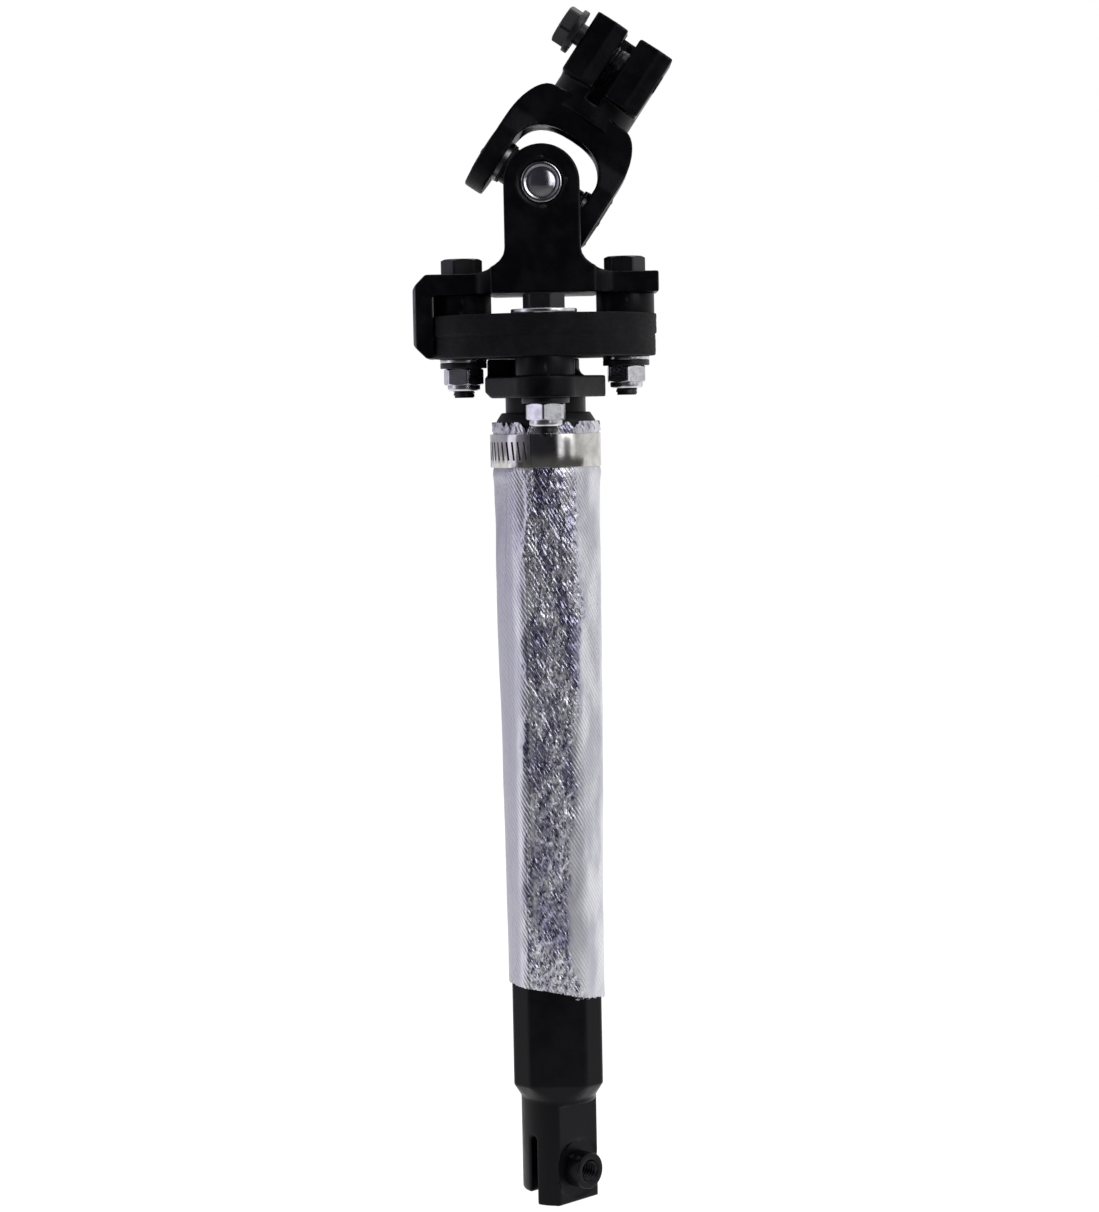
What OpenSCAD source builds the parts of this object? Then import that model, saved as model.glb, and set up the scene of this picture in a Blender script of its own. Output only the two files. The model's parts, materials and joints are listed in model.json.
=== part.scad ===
// Lower steering column: a telescoping shaft with a slotted clamp socket at the bottom,
// a flexible disc coupling, and a universal joint that carries a slotted clamp fork.
// +Z runs up the shaft. The viewer of the picture looks along +Y, with +X to the right.
// The origin is on the shaft's axis at the mouth of the lower clamp socket.

/* [Lower socket] */
// Outer diameter of the lower socket
socket_d = 27.2; // [26:0.1:32]
// Length of the lower socket up to its shoulder
socket_len = 38; // [34:0.5:60]
// Diameter of the splined bore in the lower socket
socket_bore_d = 14.8; // [12:0.1:15.4]
// Length of the splined bore
socket_bore_len = 34; // [26:0.5:34]
// Width of the clamping slit
slit_w = 3; // [1.5:0.1:4]
// Length of the clamping slit
slit_len = 25; // [20:0.5:30]
// How much shorter the half behind the slit is
half_step = 4; // [0:0.5:5]
// Distance of the socket's flat from the shaft's axis
flat_reach = 9.5; // [9.2:0.1:11]
// Depth of the round seat that is cut in the flat
seat_depth = 0.7; // [0.3:0.1:0.8]
// Diameter of that round seat
seat_d = 21.4; // [18:0.1:23]
// Height of the pinch bolt's axis above the mouth
pinch_z = 12; // [11.6:0.1:14]
// Diameter of the round pinch nut
pinch_nut_d = 13.1; // [12:0.1:15]
// Length of the pinch nut that stands out of its seat
pinch_nut_len = 6.6; // [5:0.1:9]
// Tapped diameter of the pinch nut
pinch_tap_d = 6.8; // [5:0.1:8.4]
// Diameter of the pinch bolt's plain holes in the socket
pinch_hole_d = 8.4; // [8.2:0.1:9.5]

/* [Outer tube] */
// Width of the outer tube across its flats
tube_w = 32; // [31:0.1:34]
// Leg of the bevel on the outer tube's corners
tube_bevel = 6; // [5:0.1:8]
// Rounding of the outer tube's corner edges
tube_round = 2; // [1:0.1:3]
// Wall of the outer tube
tube_wall = 2.8; // [2.4:0.1:3.2]
// Length of the swaged shoulder between socket and tube
shoulder_len = 6; // [4:0.5:10]
// Length of the bevelled part of the outer tube
tube_len = 202; // [190:1:260]
// Length of the turned mouth at the tube's top
mouth_len = 16; // [12:0.5:20]
// Radial cut that turns the mouth, measured from the bevel's flats
mouth_cut = 2.2; // [1.9:0.1:2.4]

/* [Inner shaft] */
// Wall of the plastic slide bush
bush_t = 1.1; // [0.8:0.1:1.5]
// Running gap between the bush and the outer tube
bush_gap = 0.1; // [0.06:0.01:0.2]
// Length of the slide bush
bush_len = 96; // [60:1:110]
// Distance from the tube's mouth down to the bush's top
bush_inset = 24; // [22:0.5:30]
// Diameter of the blind hole up the inner shaft
shaft_bore_d = 14; // [8:0.5:15]
// Depth of that hole
shaft_bore_depth = 108; // [60:1:110]
// How far the collar above the tube is turned down from the shaft's corners
collar_cut = 0.3; // [0.1:0.05:1.5]
// Length of the collar below the lower flange
collar_len = 24; // [22:0.5:28]
// Diameter of the spigot that holds the lower flange
spigot_d = 17; // [14:0.5:19]
// Height of the spigot's riveted end above the hub
rivet_h = 0.2; // [0.1:0.05:0.4]

/* [Dust seal and heat shield] */
// Wall of the dust seal around the tube's mouth
seal_wall = 1.57; // [1.4:0.01:2.4]
// Height of the dust seal's top edge above the tube's mouth
seal_rise = 20; // [18:0.5:21]
// Height of the cone on top of the dust seal
seal_cone_h = 3; // [2:0.1:4]
// Radial gap between the seal's lip and the sliding shaft
lip_gap = 0.2; // [0.15:0.05:0.6]
// Neck that stays free between the seal and the flange
neck_gap = 5.2; // [4.5:0.1:8]
// Gap between the heat shield's top and bolts that would stand over it
end_gap = 1; // [0.5:0.1:3]
// Thickness of the heat shield
shield_t = 0.9; // [0.6:0.1:1.1]
// Gap between the heat shield and what it is wrapped around
shield_gap = 0.2; // [0.1:0.05:0.4]
// Bare length of the outer tube below the heat shield
bare_len = 38; // [20:1:60]
// How much lower the shield's lower edge hangs on the right
shield_droop = 7; // [0:0.5:9]

/* [Band clamp] */
// Width of the clamp's band
band_w = 11.8; // [9:0.1:13]
// Thickness of the clamp's band
band_t = 0.6; // [0.5:0.05:0.8]
// Distance from the band's top edge down from the shield's top
band_inset = 4.6; // [3.5:0.1:6]
// Angle of the clamp's housing, from the front towards the right
housing_angle = -155; // [-158:1:-150]
// Angle where the band's free tail ends
tail_angle = -16.5; // [-40:0.5:0]
// Length of the screw's housing along the band
housing_len = 11; // [9:0.1:12]
// Height of the housing above the band
housing_h = 7; // [6.6:0.1:7.6]
// Diameter of the clamp's screw
screw_d = 5.6; // [4.5:0.1:5.8]
// Width across flats of the clamp screw's head
screw_af = 6; // [5:0.1:6.4]
// Length of the clamp screw's head
screw_head = 3.4; // [2.5:0.1:4]

/* [Disc coupling] */
// Diameter of the flexible disc
disc_d = 80; // [76:0.5:84]
// Thickness of the flexible disc
disc_t = 14.9; // [12:0.1:18]
// Diameter of the hole in the middle of the disc
disc_hole_d = 27; // [26:0.5:32]
// How far the bolt circle lies outside the middle of the disc's ring
bolt_offset = 2.25; // [1.7:0.05:3.2]
// Diameter of the coupling bolts
bolt_d = 8; // [7.6:0.1:8.4]
// Radial gap around the coupling bolts
bolt_gap = 0.2; // [0.1:0.05:0.4]
// Width across flats of the bolts' heads and nuts
bolt_af = 13; // [12.4:0.1:13.4]
// Height of the bolts' heads
head_h = 5.6; // [4.5:0.1:5.8]
// Diameter of the spacers
spacer_d = 20.7; // [18:0.1:21]
// Height of the spacers under the disc
low_spacer_h = 6.7; // [6.5:0.1:9]
// Height of the spacers above the disc
up_spacer_h = 7.4; // [7.4:0.1:9]
// Diameter of the broad washers under the front and rear heads
broad_d = 23; // [18:0.5:24]
// Thickness of the broad washers
broad_t = 1.4; // [1:0.1:1.5]
// Diameter of the nuts' washers
washer_d = 16.6; // [15.5:0.1:18]
// Thickness of the bright washers
bright_t = 1.4; // [1:0.1:2]
// Thickness of the dark washers
dark_t = 2; // [1:0.1:2.4]
// Height of the lock nuts
nut_h = 8; // [7:0.1:8.4]
// Height of the nuts' round collar
nut_collar_h = 2; // [1.6:0.1:2.6]
// Length of bolt that stands out of a nut
bolt_end = 2.4; // [1:0.1:2.6]

/* [Lower flange] */
// Thickness of the lower flange
flange_t = 7.5; // [6.5:0.1:9]
// Gap between the lower flange and the corners of the side nuts
flange_gap = 0.3; // [0.2:0.1:3]
// How far the lower flange's ends stand out of the disc's rim
flange_proud = 0.5; // [0.2:0.1:1.5]
// Diameter of the flange's hub
hub_d = 24.5; // [22.5:0.1:25]
// Gap between the hub and the disc
hub_gap = 0.5; // [0.3:0.1:0.8]
// Width of the stop pad on the flange's left end
pad_w = 7.6; // [6:0.1:8]
// Depth of the stop pad from front to back
pad_l = 18; // [12:0.5:24]

/* [Strap yoke] */
// Thickness of the strap yoke's plate
plate_t = 7.4; // [6.5:0.1:9]
// How far the plate's right end stands out of the disc's rim
plate_proud = 0.7; // [0.2:0.1:2]
// Width of the plate's arms from front to back
arm_w = 23.4; // [22:0.1:24]
// Width of the yoke's ears
ear_w = 26.6; // [25.8:0.1:28]
// Half width of the plate between the ears' flares
flare_reach = 18.4; // [18:0.1:19]
// Radius of the flares at the feet of the ears
flare_r = 8; // [5:0.1:8]
// How far the webs behind the flares reach along the arms
web_reach = 26; // [24:0.5:27]
// Height of those webs above the plate
web_rise = 8; // [5:0.5:9]
// Distance of the ears' outer faces from the axis
ear_reach = 23.5; // [23.3:0.1:24]
// Thickness of the ears
ear_t = 6; // [5.2:0.1:6.2]
// Height of the joint's centre above the plate
joint_rise = 30.7; // [30.5:0.1:34]
// Gap between the disc's rim and the stop lug
lug_gap = 0.6; // [0.4:0.1:1.5]
// Thickness of the stop lug
lug_t = 6; // [4:0.1:7]
// Bevel of the stop lug's two outer corners
lug_bevel = 5; // [2:0.1:5.5]
// Height of the stop lug's foot above the disc's lower face
lug_rise = 0.1; // [0:0.1:4]

/* [Universal joint] */
// Diameter of the bearing cups
cup_d = 15; // [14:0.1:15.6]
// Reach of the cups' outer faces from the joint's centre
cup_reach = 23; // [22.8:0.1:23.2]
// Length of the bearing cups
cup_len = 7.9; // [7.4:0.1:8]
// Wall of the bearing cups
cup_wall = 1; // [0.8:0.05:1.2]
// Diameter of the cross's journals
journal_d = 9; // [8:0.1:9.6]
// Running gap at the journals, and radially at the needles
needle_gap = 0.05; // [0.03:0.01:0.08]
// Number of needles in a cup
needle_n = 14; // [10:1:15]
// Thickness of the seals on the journals
ring_t = 1; // [0.8:0.1:1.2]
// Diameter of the counterbore around each cup
stake_d = 17; // [16:0.1:18]
// Depth of that counterbore
stake_depth = 0.5; // [0.3:0.05:0.6]

/* [Upper fork] */
// Tilt of the fork towards the right
fork_tilt = 34; // [20:1:36]
// Distance of the fork arms' outer faces from the joint's centre
fork_reach = 23.6; // [23.3:0.1:24]
// Thickness of the fork's arms
fork_t = 7; // [6:0.1:7.2]
// Radius of the arms' ends around the journals
fork_end_r = 14; // [13:0.1:14.2]
// Height of the crotch above the joint's centre
crotch_h = 20; // [19.5:0.1:22]
// Height of the crotch's corners at the arms
crotch_side_h = 14; // [10:0.1:15]
// Height of the hub's foot above the joint's centre
hub_foot = 31; // [30.5:0.5:34]
// Height of the clamp's mouth above the joint's centre
mouth_h = 60.5; // [58:0.5:70]
// Diameter of the clamp's hub
clamp_d = 30.8; // [29:0.1:32]
// Diameter of the splined bore in the clamp
clamp_bore_d = 17.8; // [15:0.1:17.8]
// Left side of the clamping slot
slot_left = 3; // [1:0.1:3.2]
// Right side of the clamping slot
slot_right = 2; // [1:0.1:3.2]
// How far the clamp's ears reach towards the front
nose_reach = 19.6; // [19:0.1:22]
// Length of the ears along the clamp's bore
nose_len = 23.5; // [22:0.5:25]
// Distance of the pinch bolt's axis from the bore's axis
clamp_bolt_v = 13.6; // [13.6:0.1:14]
// Distance from the clamp's mouth down to the pinch bolt
clamp_bolt_drop = 9.9; // [9:0.1:12]
// How far the loose pinch bolt stands out of its ear
bolt_loose = 2.2; // [0:0.1:4]
// Diameter of the pinch bolt
clamp_bolt_d = 8; // [7:0.1:8]
// Height of the pinch bolt's head
clamp_head_h = 4.7; // [4:0.1:6]
// Diameter of the pinch bolt's washer
clamp_washer_d = 16.4; // [14:0.1:17]
// Thickness of the pinch bolt's washer
clamp_washer_t = 2.1; // [1:0.1:2.5]

/* [Hidden] */
$fn = 72;
eps = 0.01;

// widths that follow the tube
bevel_reach = (tube_w - tube_bevel) / sqrt(2);
mouth_r = bevel_reach - mouth_cut;
bore_w = tube_w - 2 * tube_wall;
bush_w = bore_w - 2 * bush_gap;
shaft_w = bush_w - 2 * bush_t;
seal_r = mouth_r + seal_wall;
shield_w = tube_w + 2 * (shield_gap + shield_t);
shield_top_r = seal_r + shield_gap + shield_t;
band_r = shield_top_r + 0.05;
tail_r = band_r + band_t;
housing_r = tail_r + band_t;
screw_r = housing_r + housing_h / 2;
seat_reach = flat_reach - seat_depth;

// the shaft's corners and the seal's lip, which clears them as the shaft slides
shaft_leg = leg(tube_bevel, tube_wall + bush_gap + bush_t);
shaft_corner = norm([shaft_w / 2, shaft_w / 2 - shaft_leg]);
collar_r = shaft_corner - collar_cut;
lip_r = shaft_corner + lip_gap;

// the bolt circle, and what follows it and the disc's rim
disc_r = disc_d / 2;
bolt_reach = (disc_r + disc_hole_d / 2) / 2 + bolt_offset;
bolt_r = bolt_d / 2;
hole_r = bolt_r + bolt_gap;
nut_corner = bolt_af / sqrt(3);
flange_w = 2 * (bolt_reach - nut_corner - flange_gap);
flange_end_r = disc_r - bolt_reach + flange_proud;
hub_fillet = min(3, (bolt_reach - spacer_d / 2 - hub_d / 2) / 2);
plate_reach = disc_r + plate_proud;
lug_in = max(disc_r, bolt_reach + spacer_d / 2) + lug_gap;
lug_out = lug_in + lug_t;
pad_reach = bolt_reach - washer_d / 2 - flange_gap;

// heights along the shaft, each from the piece below it
tube_foot = socket_len + shoulder_len;
mouth_foot = tube_foot + tube_len;
tube_top = mouth_foot + mouth_len;
seal_top = tube_top + seal_rise;
lip_top = seal_top + seal_cone_h;
// the end nuts hang beside the heat shield, or above it where it is too wide for that
neck_top = lip_top + neck_gap;
end_bolt = dark_t + nut_h + bolt_end;
flange_z = bolt_reach - nut_corner > shield_top_r ? neck_top : max(neck_top, seal_top + end_gap + end_bolt);
flange_top = flange_z + flange_t;
disc_z = flange_top + low_spacer_h;
disc_top = disc_z + disc_t;
plate_z = disc_top + up_spacer_h;
plate_top = plate_z + plate_t;
joint_z = plate_top + joint_rise;
shield_foot = tube_foot + bare_len;
band_top = seal_top - band_inset;
band_z = band_top - band_w / 2;
shaft_foot = tube_top - bush_inset - bush_len - 4;

// the universal joint and the fork's clamp, from the joint's centre
cup_bore_r = cup_d / 2 - cup_wall;
journal_r = journal_d / 2;
cup_mouth = cup_reach - cup_len;
cup_floor = cup_reach - cup_wall;
journal_end = cup_floor - 0.1;
cross_body = cup_mouth - ring_t - 0.2;
nose_foot = mouth_h - nose_len;
clamp_bolt_h = mouth_h - clamp_bolt_drop;

// the leg of a bevel after all faces move inwards by d
function leg(c, d) = c - (2 - sqrt(2)) * d;
// the corner points of a bevelled square, each corner rounded by r with n steps
function bev(w, c) = let (a = w / 2, b = a - c)
  [[a, -b], [a, b], [b, a], [-b, a], [-a, b], [-a, -b], [-b, -a], [b, -a]];
function rounded(p, r, n) = [for (i = [0 : len(p) - 1])
  let (q = p[i], e = p[(i + len(p) - 1) % len(p)], f = p[(i + 1) % len(p)],
       a1 = atan2(q[1] - e[1], q[0] - e[0]), a2 = atan2(f[1] - q[1], f[0] - q[0]),
       turn = (a2 - a1 + 540) % 360 - 180, k = r * tan(turn / 2),
       c = [q[0] - k * cos(a1) - r * sin(a1), q[1] - k * sin(a1) + r * cos(a1)])
  for (s = [0 : n]) let (t = a1 - 90 + turn * s / n) [c[0] + r * cos(t), c[1] + r * sin(t)]];

module bevel_bar(w, c, h, r = 0) {
  linear_extrude(height = h) polygon(r > 0 ? rounded(bev(w, c), r, 4) : bev(w, c));
}
module tube_ring(ro, ri, h) {
  difference() {
    cylinder(r = ro, h = h);
    translate([0, 0, -1]) cylinder(r = ri, h = h + 2);
  }
}
// turns a piece about the shaft: 0 is the front, positive goes to the right
module at_angle(a) { rotate([0, 0, a - 90]) children(); }
module pinch_frame() { translate([0, 0, pinch_z]) rotate([0, 0, -45]) rotate([0, 90, 0]) children(); }
module fork_frame() { translate([0, 0, joint_z]) rotate([0, fork_tilt, 0]) children(); }
module joint_frame() { translate([0, 0, joint_z]) children(); }
module to_front() { rotate([90, 0, 0]) children(); }
module to_rear() { rotate([-90, 0, 0]) children(); }
module to_left() { rotate([0, -90, 0]) children(); }
module to_right() { rotate([0, 90, 0]) children(); }
module hexagon(af, h) { cylinder(r = af / sqrt(3), h = h, $fn = 6); }
// a hexagon whose end is turned off by a cone, standing on z = 0
module hex_head(af, h) {
  intersection() {
    hexagon(af, h);
    cylinder(r1 = af / sqrt(3) + h * 2, r2 = af / 2 * 0.99 + 0.1, h = h * 1.0);
  }
}

module outer_tube() color([0.17, 0.17, 0.19]) difference() {
  union() {
    cylinder(d = socket_d, h = socket_len + eps);
    hull() {
      translate([0, 0, socket_len]) cylinder(d = socket_d, h = eps, $fn = 32);
      translate([0, 0, tube_foot]) bevel_bar(tube_w, tube_bevel, eps, tube_round);
    }
    translate([0, 0, tube_foot]) bevel_bar(tube_w, tube_bevel, tube_len, tube_round);
    translate([0, 0, mouth_foot - eps]) cylinder(r = mouth_r, h = mouth_len + eps);
  }
  translate([0, 0, -1]) cylinder(d = socket_bore_d, h = socket_bore_len + 1 + eps);
  translate([0, 0, socket_bore_len]) cylinder(d = socket_bore_d + 1.2, h = tube_foot - socket_bore_len + 3);
  translate([0, 0, tube_foot + 2])
    bevel_bar(bore_w, leg(tube_bevel, tube_wall), tube_len + mouth_len + 2);
  rotate([0, 0, -45]) {
    translate([flat_reach, -30, -1]) cube([30, 60, socket_len - 1.5 + 1]);
    translate([-slit_w / 2, -30, -1]) cube([slit_w, 30, slit_len - slit_w / 2 + 1]);
    translate([0, 0, slit_len - slit_w / 2]) rotate([90, 0, 0]) cylinder(d = slit_w, h = 30);
    translate([-30 - slit_w / 2, -30, -1]) cube([30, 60, half_step + 1]);
  }
  pinch_frame() {
    translate([0, 0, seat_reach]) cylinder(d = seat_d, h = 20);
    translate([0, 0, -socket_d]) cylinder(d = pinch_hole_d, h = 2 * socket_d);
  }
}

module pinch_nut() color([0.22, 0.22, 0.24]) pinch_frame() translate([0, 0, seat_reach]) difference() {
  union() {
    cylinder(d = pinch_nut_d, h = pinch_nut_len - 1);
    translate([0, 0, pinch_nut_len - 1]) cylinder(d1 = pinch_nut_d, d2 = pinch_nut_d - 1.2, h = 1);
  }
  translate([0, 0, -1]) cylinder(d = pinch_tap_d, h = pinch_nut_len + 2);
}

module dust_seal() color([0.1, 0.1, 0.11]) difference() {
  union() {
    translate([0, 0, mouth_foot + 4]) cylinder(r = seal_r, h = seal_top - mouth_foot - 4);
    translate([0, 0, seal_top])
      cylinder(r1 = seal_r, r2 = lip_r + 0.8, h = seal_cone_h);
  }
  translate([0, 0, mouth_foot]) cylinder(r = mouth_r, h = mouth_len);
  translate([0, 0, mouth_foot]) cylinder(r = lip_r, h = 2 * seal_rise + mouth_len);
}

// the shield is swept from rings: a bevelled square below, a circle around the seal above
SECTOR = [0, 10, 20, 27, 32, 37, 45, 53, 58, 63, 70, 80];
function plane_r(t, reach) = reach / max(abs(cos(t)), abs(sin(t)));
function bevel_r(t, half, reach) = min(plane_r(t, half), plane_r(t - 45, reach));
function shield_ring(in, step) = let (top = shield_top_r - in, d = bevel_reach + shield_gap + shield_t - in)
  [for (q = [0 : 90 : 270], a = SECTOR) let (t = q + a,
    r = step < 2 ? bevel_r(t, shield_w / 2 - in, d) : step == 2 ? bevel_r(t, top, d) : top,
    x = r * cos(t),
    z = step == 0 ? shield_foot - shield_droop * (0.5 + x / shield_w) : step == 1 ? shield_foot + 6
      : step == 2 ? mouth_foot : step == 3 ? mouth_foot + 4 : seal_top) [x, r * sin(t), z]];
RING_N = len(SECTOR) * 4;
RING_STEPS = 5;
function at(wall, step, i) = (wall * RING_STEPS + step) * RING_N + i % RING_N;
module heat_shield() color([0.8, 0.8, 0.83]) {
  n = RING_N;
  k = RING_STEPS;
  polyhedron(points = [for (wall = [0, 1], step = [0 : k - 1]) each shield_ring(wall * shield_t, step)],
    faces = concat(
      [for (j = [0 : k - 2], i = [0 : n - 1]) each [[at(0, j, i), at(0, j + 1, i), at(0, j + 1, i + 1)],
        [at(0, j, i), at(0, j + 1, i + 1), at(0, j, i + 1)]]],
      [for (j = [0 : k - 2], i = [0 : n - 1]) each [[at(1, j, i), at(1, j + 1, i + 1), at(1, j + 1, i)],
        [at(1, j, i), at(1, j, i + 1), at(1, j + 1, i + 1)]]],
      [for (i = [0 : n - 1]) each [[at(0, 0, i), at(0, 0, i + 1), at(1, 0, i + 1)],
        [at(0, 0, i), at(1, 0, i + 1), at(1, 0, i)]]],
      [for (i = [0 : n - 1]) each [[at(0, k - 1, i), at(1, k - 1, i + 1), at(0, k - 1, i + 1)],
        [at(0, k - 1, i), at(1, k - 1, i), at(1, k - 1, i + 1)]]]), convexity = 4);
}

module clamp_band() color([0.72, 0.72, 0.7]) translate([0, 0, band_z]) {
  difference() {
    cylinder(r = tail_r, h = band_w, center = true);
    cylinder(r = band_r, h = band_w + 1, center = true);
  }
  intersection() {
    difference() {
      cylinder(r = housing_r, h = band_w, center = true);
      cylinder(r = tail_r - eps, h = band_w + 1, center = true);
    }
    rotate([0, 0, -90]) linear_extrude(height = band_w + 2, center = true)
      polygon(concat([[0, 0]], [for (i = [0 : 8])
        let (a = housing_angle - 12 + (tail_angle - housing_angle + 12) * i / 8) [60 * cos(a), 60 * sin(a)]]));
  }
}
module clamp_housing() color([0.7, 0.7, 0.68]) translate([0, 0, band_z]) difference() {
  at_angle(housing_angle) translate([0, -housing_len / 2, -band_w / 2 + 0.3])
    intersection() {
      cube([housing_r + housing_h, housing_len, band_w - 0.6]);
      translate([housing_r + housing_h - 40, -5, band_w / 2 - 0.3])
        rotate([-90, 0, 0]) cylinder(r = 40, h = 60);
    }
  cylinder(r = housing_r, h = 40, center = true);
  at_angle(housing_angle) translate([screw_r, 0, 0]) rotate([90, 0, 0])
    cylinder(d = screw_d + 0.4, h = 60, center = true);
}
module clamp_screw() color([0.6, 0.6, 0.62]) translate([0, 0, band_z])
  at_angle(housing_angle) translate([screw_r, 0, 0]) rotate([90, 0, 0]) difference() {
    union() {
      translate([0, 0, -housing_len / 2 - 1]) cylinder(d = screw_d, h = housing_len + 1.5);
      translate([0, 0, housing_len / 2 + 0.3]) hexagon(screw_af, screw_head);
    }
    translate([-5, -0.5, housing_len / 2 + 0.3 + screw_head - 1.2]) cube([10, 1, 5]);
  }

module inner_shaft() color([0.2, 0.2, 0.22]) difference() {
  union() {
    translate([0, 0, shaft_foot])
      bevel_bar(shaft_w, shaft_leg, flange_z - collar_len - shaft_foot + eps);
    translate([0, 0, flange_z - collar_len]) cylinder(r = collar_r, h = collar_len);
    translate([0, 0, flange_z - eps])
      cylinder(d = spigot_d, h = disc_z - hub_gap - flange_z + eps);
    translate([0, 0, disc_z - hub_gap])
      cylinder(d1 = spigot_d, d2 = spigot_d - 2, h = rivet_h);
  }
  translate([0, 0, shaft_foot - 1]) cylinder(d = shaft_bore_d, h = shaft_bore_depth + 1);
}
module slide_bush() color([0.85, 0.85, 0.8]) translate([0, 0, tube_top - bush_inset - bush_len])
  difference() {
    bevel_bar(bush_w, leg(tube_bevel, tube_wall + bush_gap), bush_len);
    translate([0, 0, -1])
      bevel_bar(shaft_w, shaft_leg, bush_len + 2);
  }

module lower_flange() color([0.19, 0.19, 0.21]) difference() {
  union() {
    translate([0, 0, flange_z]) linear_extrude(height = flange_t) {
      w = flange_w / 2;
      b = bolt_reach;
      r = flange_end_r;
      for (s = [-1, 1]) translate([0, s * b]) circle(r = r);
      polygon([[w, -14], [w, 14], [r * 0.86, b + r * 0.5], [-r * 0.86, b + r * 0.5],
        [-w, 14], [-w, -14], [-r * 0.86, -b - r * 0.5], [r * 0.86, -b - r * 0.5]]);
    }
    translate([0, 0, flange_top - eps]) cylinder(d = hub_d, h = disc_z - hub_gap - flange_top + eps);
    translate([0, 0, flange_top]) rotate_extrude() translate([hub_d / 2 - eps, -eps])
      difference() {
        square(hub_fillet);
        translate([hub_fillet, hub_fillet]) circle(r = hub_fillet);
      }
    translate([-pad_reach, -pad_l / 2, flange_top - eps])
      cube([pad_w, pad_l, disc_z - hub_gap - flange_top + eps]);
  }
  translate([0, 0, flange_z - 1]) cylinder(d = spigot_d, h = 40);
  for (s = [-1, 1]) translate([0, s * bolt_reach, flange_z - 1]) cylinder(r = hole_r, h = flange_t + 2);
  translate([-flange_w / 2, 0, flange_z]) rotate([0, 45, 0]) cube([3, 60, 3], center = true);
}

module coupling_disc() color([0.16, 0.16, 0.17]) difference() {
  translate([0, 0, disc_z]) rotate_extrude() difference() {
    translate([disc_hole_d / 2, 0]) square([disc_r - disc_hole_d / 2, disc_t]);
    translate([disc_r, disc_t / 2]) circle(r = 0.5);
    translate([disc_r - 0.4, -1]) square([3, disc_t / 2 + 1]);
  }
  for (a = [0 : 90 : 270]) rotate([0, 0, a]) translate([bolt_reach, 0, disc_z - 1])
    cylinder(r = hole_r, h = disc_t + 2);
}

module spacer(x, y, z, h) color([0.2, 0.2, 0.22]) translate([x, y, z]) tube_ring(spacer_d / 2, hole_r, h);
module spacer_left() spacer(-bolt_reach, 0, disc_top, up_spacer_h);
module spacer_right() spacer(bolt_reach, 0, disc_top, up_spacer_h);
module spacer_front() spacer(0, -bolt_reach, flange_top, low_spacer_h);
module spacer_rear() spacer(0, bolt_reach, flange_top, low_spacer_h);

// a bolt seen from its head's underside at z = 0, with its end at -grip
module hex_bolt(x, y, z, grip, turn) color([0.2, 0.2, 0.22]) translate([x, y, z]) rotate([0, 0, turn]) {
  hex_head(bolt_af, head_h);
  translate([0, 0, -grip + 0.8]) cylinder(r = bolt_r, h = grip - 0.8 + eps);
  translate([0, 0, -grip]) cylinder(r1 = bolt_r - 0.8, r2 = bolt_r, h = 0.8);
}
side_grip = plate_top - disc_z + bright_t + end_bolt;
end_grip = disc_top + broad_t - flange_z + end_bolt;
module bolt_left() hex_bolt(-bolt_reach, 0, plate_top, side_grip, 8);
module bolt_right() hex_bolt(bolt_reach, 0, plate_top, side_grip, 52);
module bolt_front() hex_bolt(0, -bolt_reach, disc_top + broad_t, end_grip, 48);
module bolt_rear() hex_bolt(0, bolt_reach, disc_top + broad_t, end_grip, 25);

module washer(x, y, z, d, t, shade) color([shade, shade, shade]) translate([x, y, z]) tube_ring(d / 2, hole_r, t);
module broad_washer_front() washer(0, -bolt_reach, disc_top, broad_d, broad_t, 0.75);
module broad_washer_rear() washer(0, bolt_reach, disc_top, broad_d, broad_t, 0.75);
module bright_washer_left() washer(-bolt_reach, 0, disc_z - bright_t, washer_d, bright_t, 0.75);
module bright_washer_right() washer(bolt_reach, 0, disc_z - bright_t, washer_d, bright_t, 0.75);
side_nut_z = disc_z - bright_t - dark_t;
end_nut_z = flange_z - dark_t;
module dark_washer_left() washer(-bolt_reach, 0, side_nut_z, washer_d, dark_t, 0.2);
module dark_washer_right() washer(bolt_reach, 0, side_nut_z, washer_d, dark_t, 0.2);
module dark_washer_front() washer(0, -bolt_reach, end_nut_z, washer_d, dark_t, 0.2);
module dark_washer_rear() washer(0, bolt_reach, end_nut_z, washer_d, dark_t, 0.2);

// a lock nut that hangs from z = 0, with its round collar at the bottom
module lock_nut(x, y, z, turn) color([0.75, 0.75, 0.76]) translate([x, y, z]) rotate([180, 0, turn])
  difference() {
    union() {
      hex_head(bolt_af, nut_h - nut_collar_h);
      translate([0, 0, nut_h - nut_collar_h - 1]) cylinder(d = bolt_af - 1.4, h = nut_collar_h + 0.4);
      translate([0, 0, nut_h - 0.6]) cylinder(d1 = bolt_af - 1.4, d2 = bolt_af - 2.6, h = 0.6);
    }
    translate([0, 0, -1]) cylinder(r = bolt_r, h = nut_h + 2);
    translate([0, 0, nut_h - nut_collar_h - 0.2]) cylinder(r = bolt_r + 0.9, h = nut_collar_h - 0.2);
  }
module nut_left() lock_nut(-bolt_reach, 0, side_nut_z, 43);
module nut_right() lock_nut(bolt_reach, 0, side_nut_z, 32);
module nut_front() lock_nut(0, -bolt_reach, end_nut_z, 24);
module nut_rear() lock_nut(0, bolt_reach, end_nut_z, 21);
module nylon(x, y, z) color([0.9, 0.9, 0.88]) translate([x, y, z - nut_h + 0.4])
  tube_ring(bolt_r + 0.9, bolt_r, nut_collar_h - 0.2);
module nylon_left() nylon(-bolt_reach, 0, side_nut_z);
module nylon_right() nylon(bolt_reach, 0, side_nut_z);
module nylon_front() nylon(0, -bolt_reach, end_nut_z);
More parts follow.
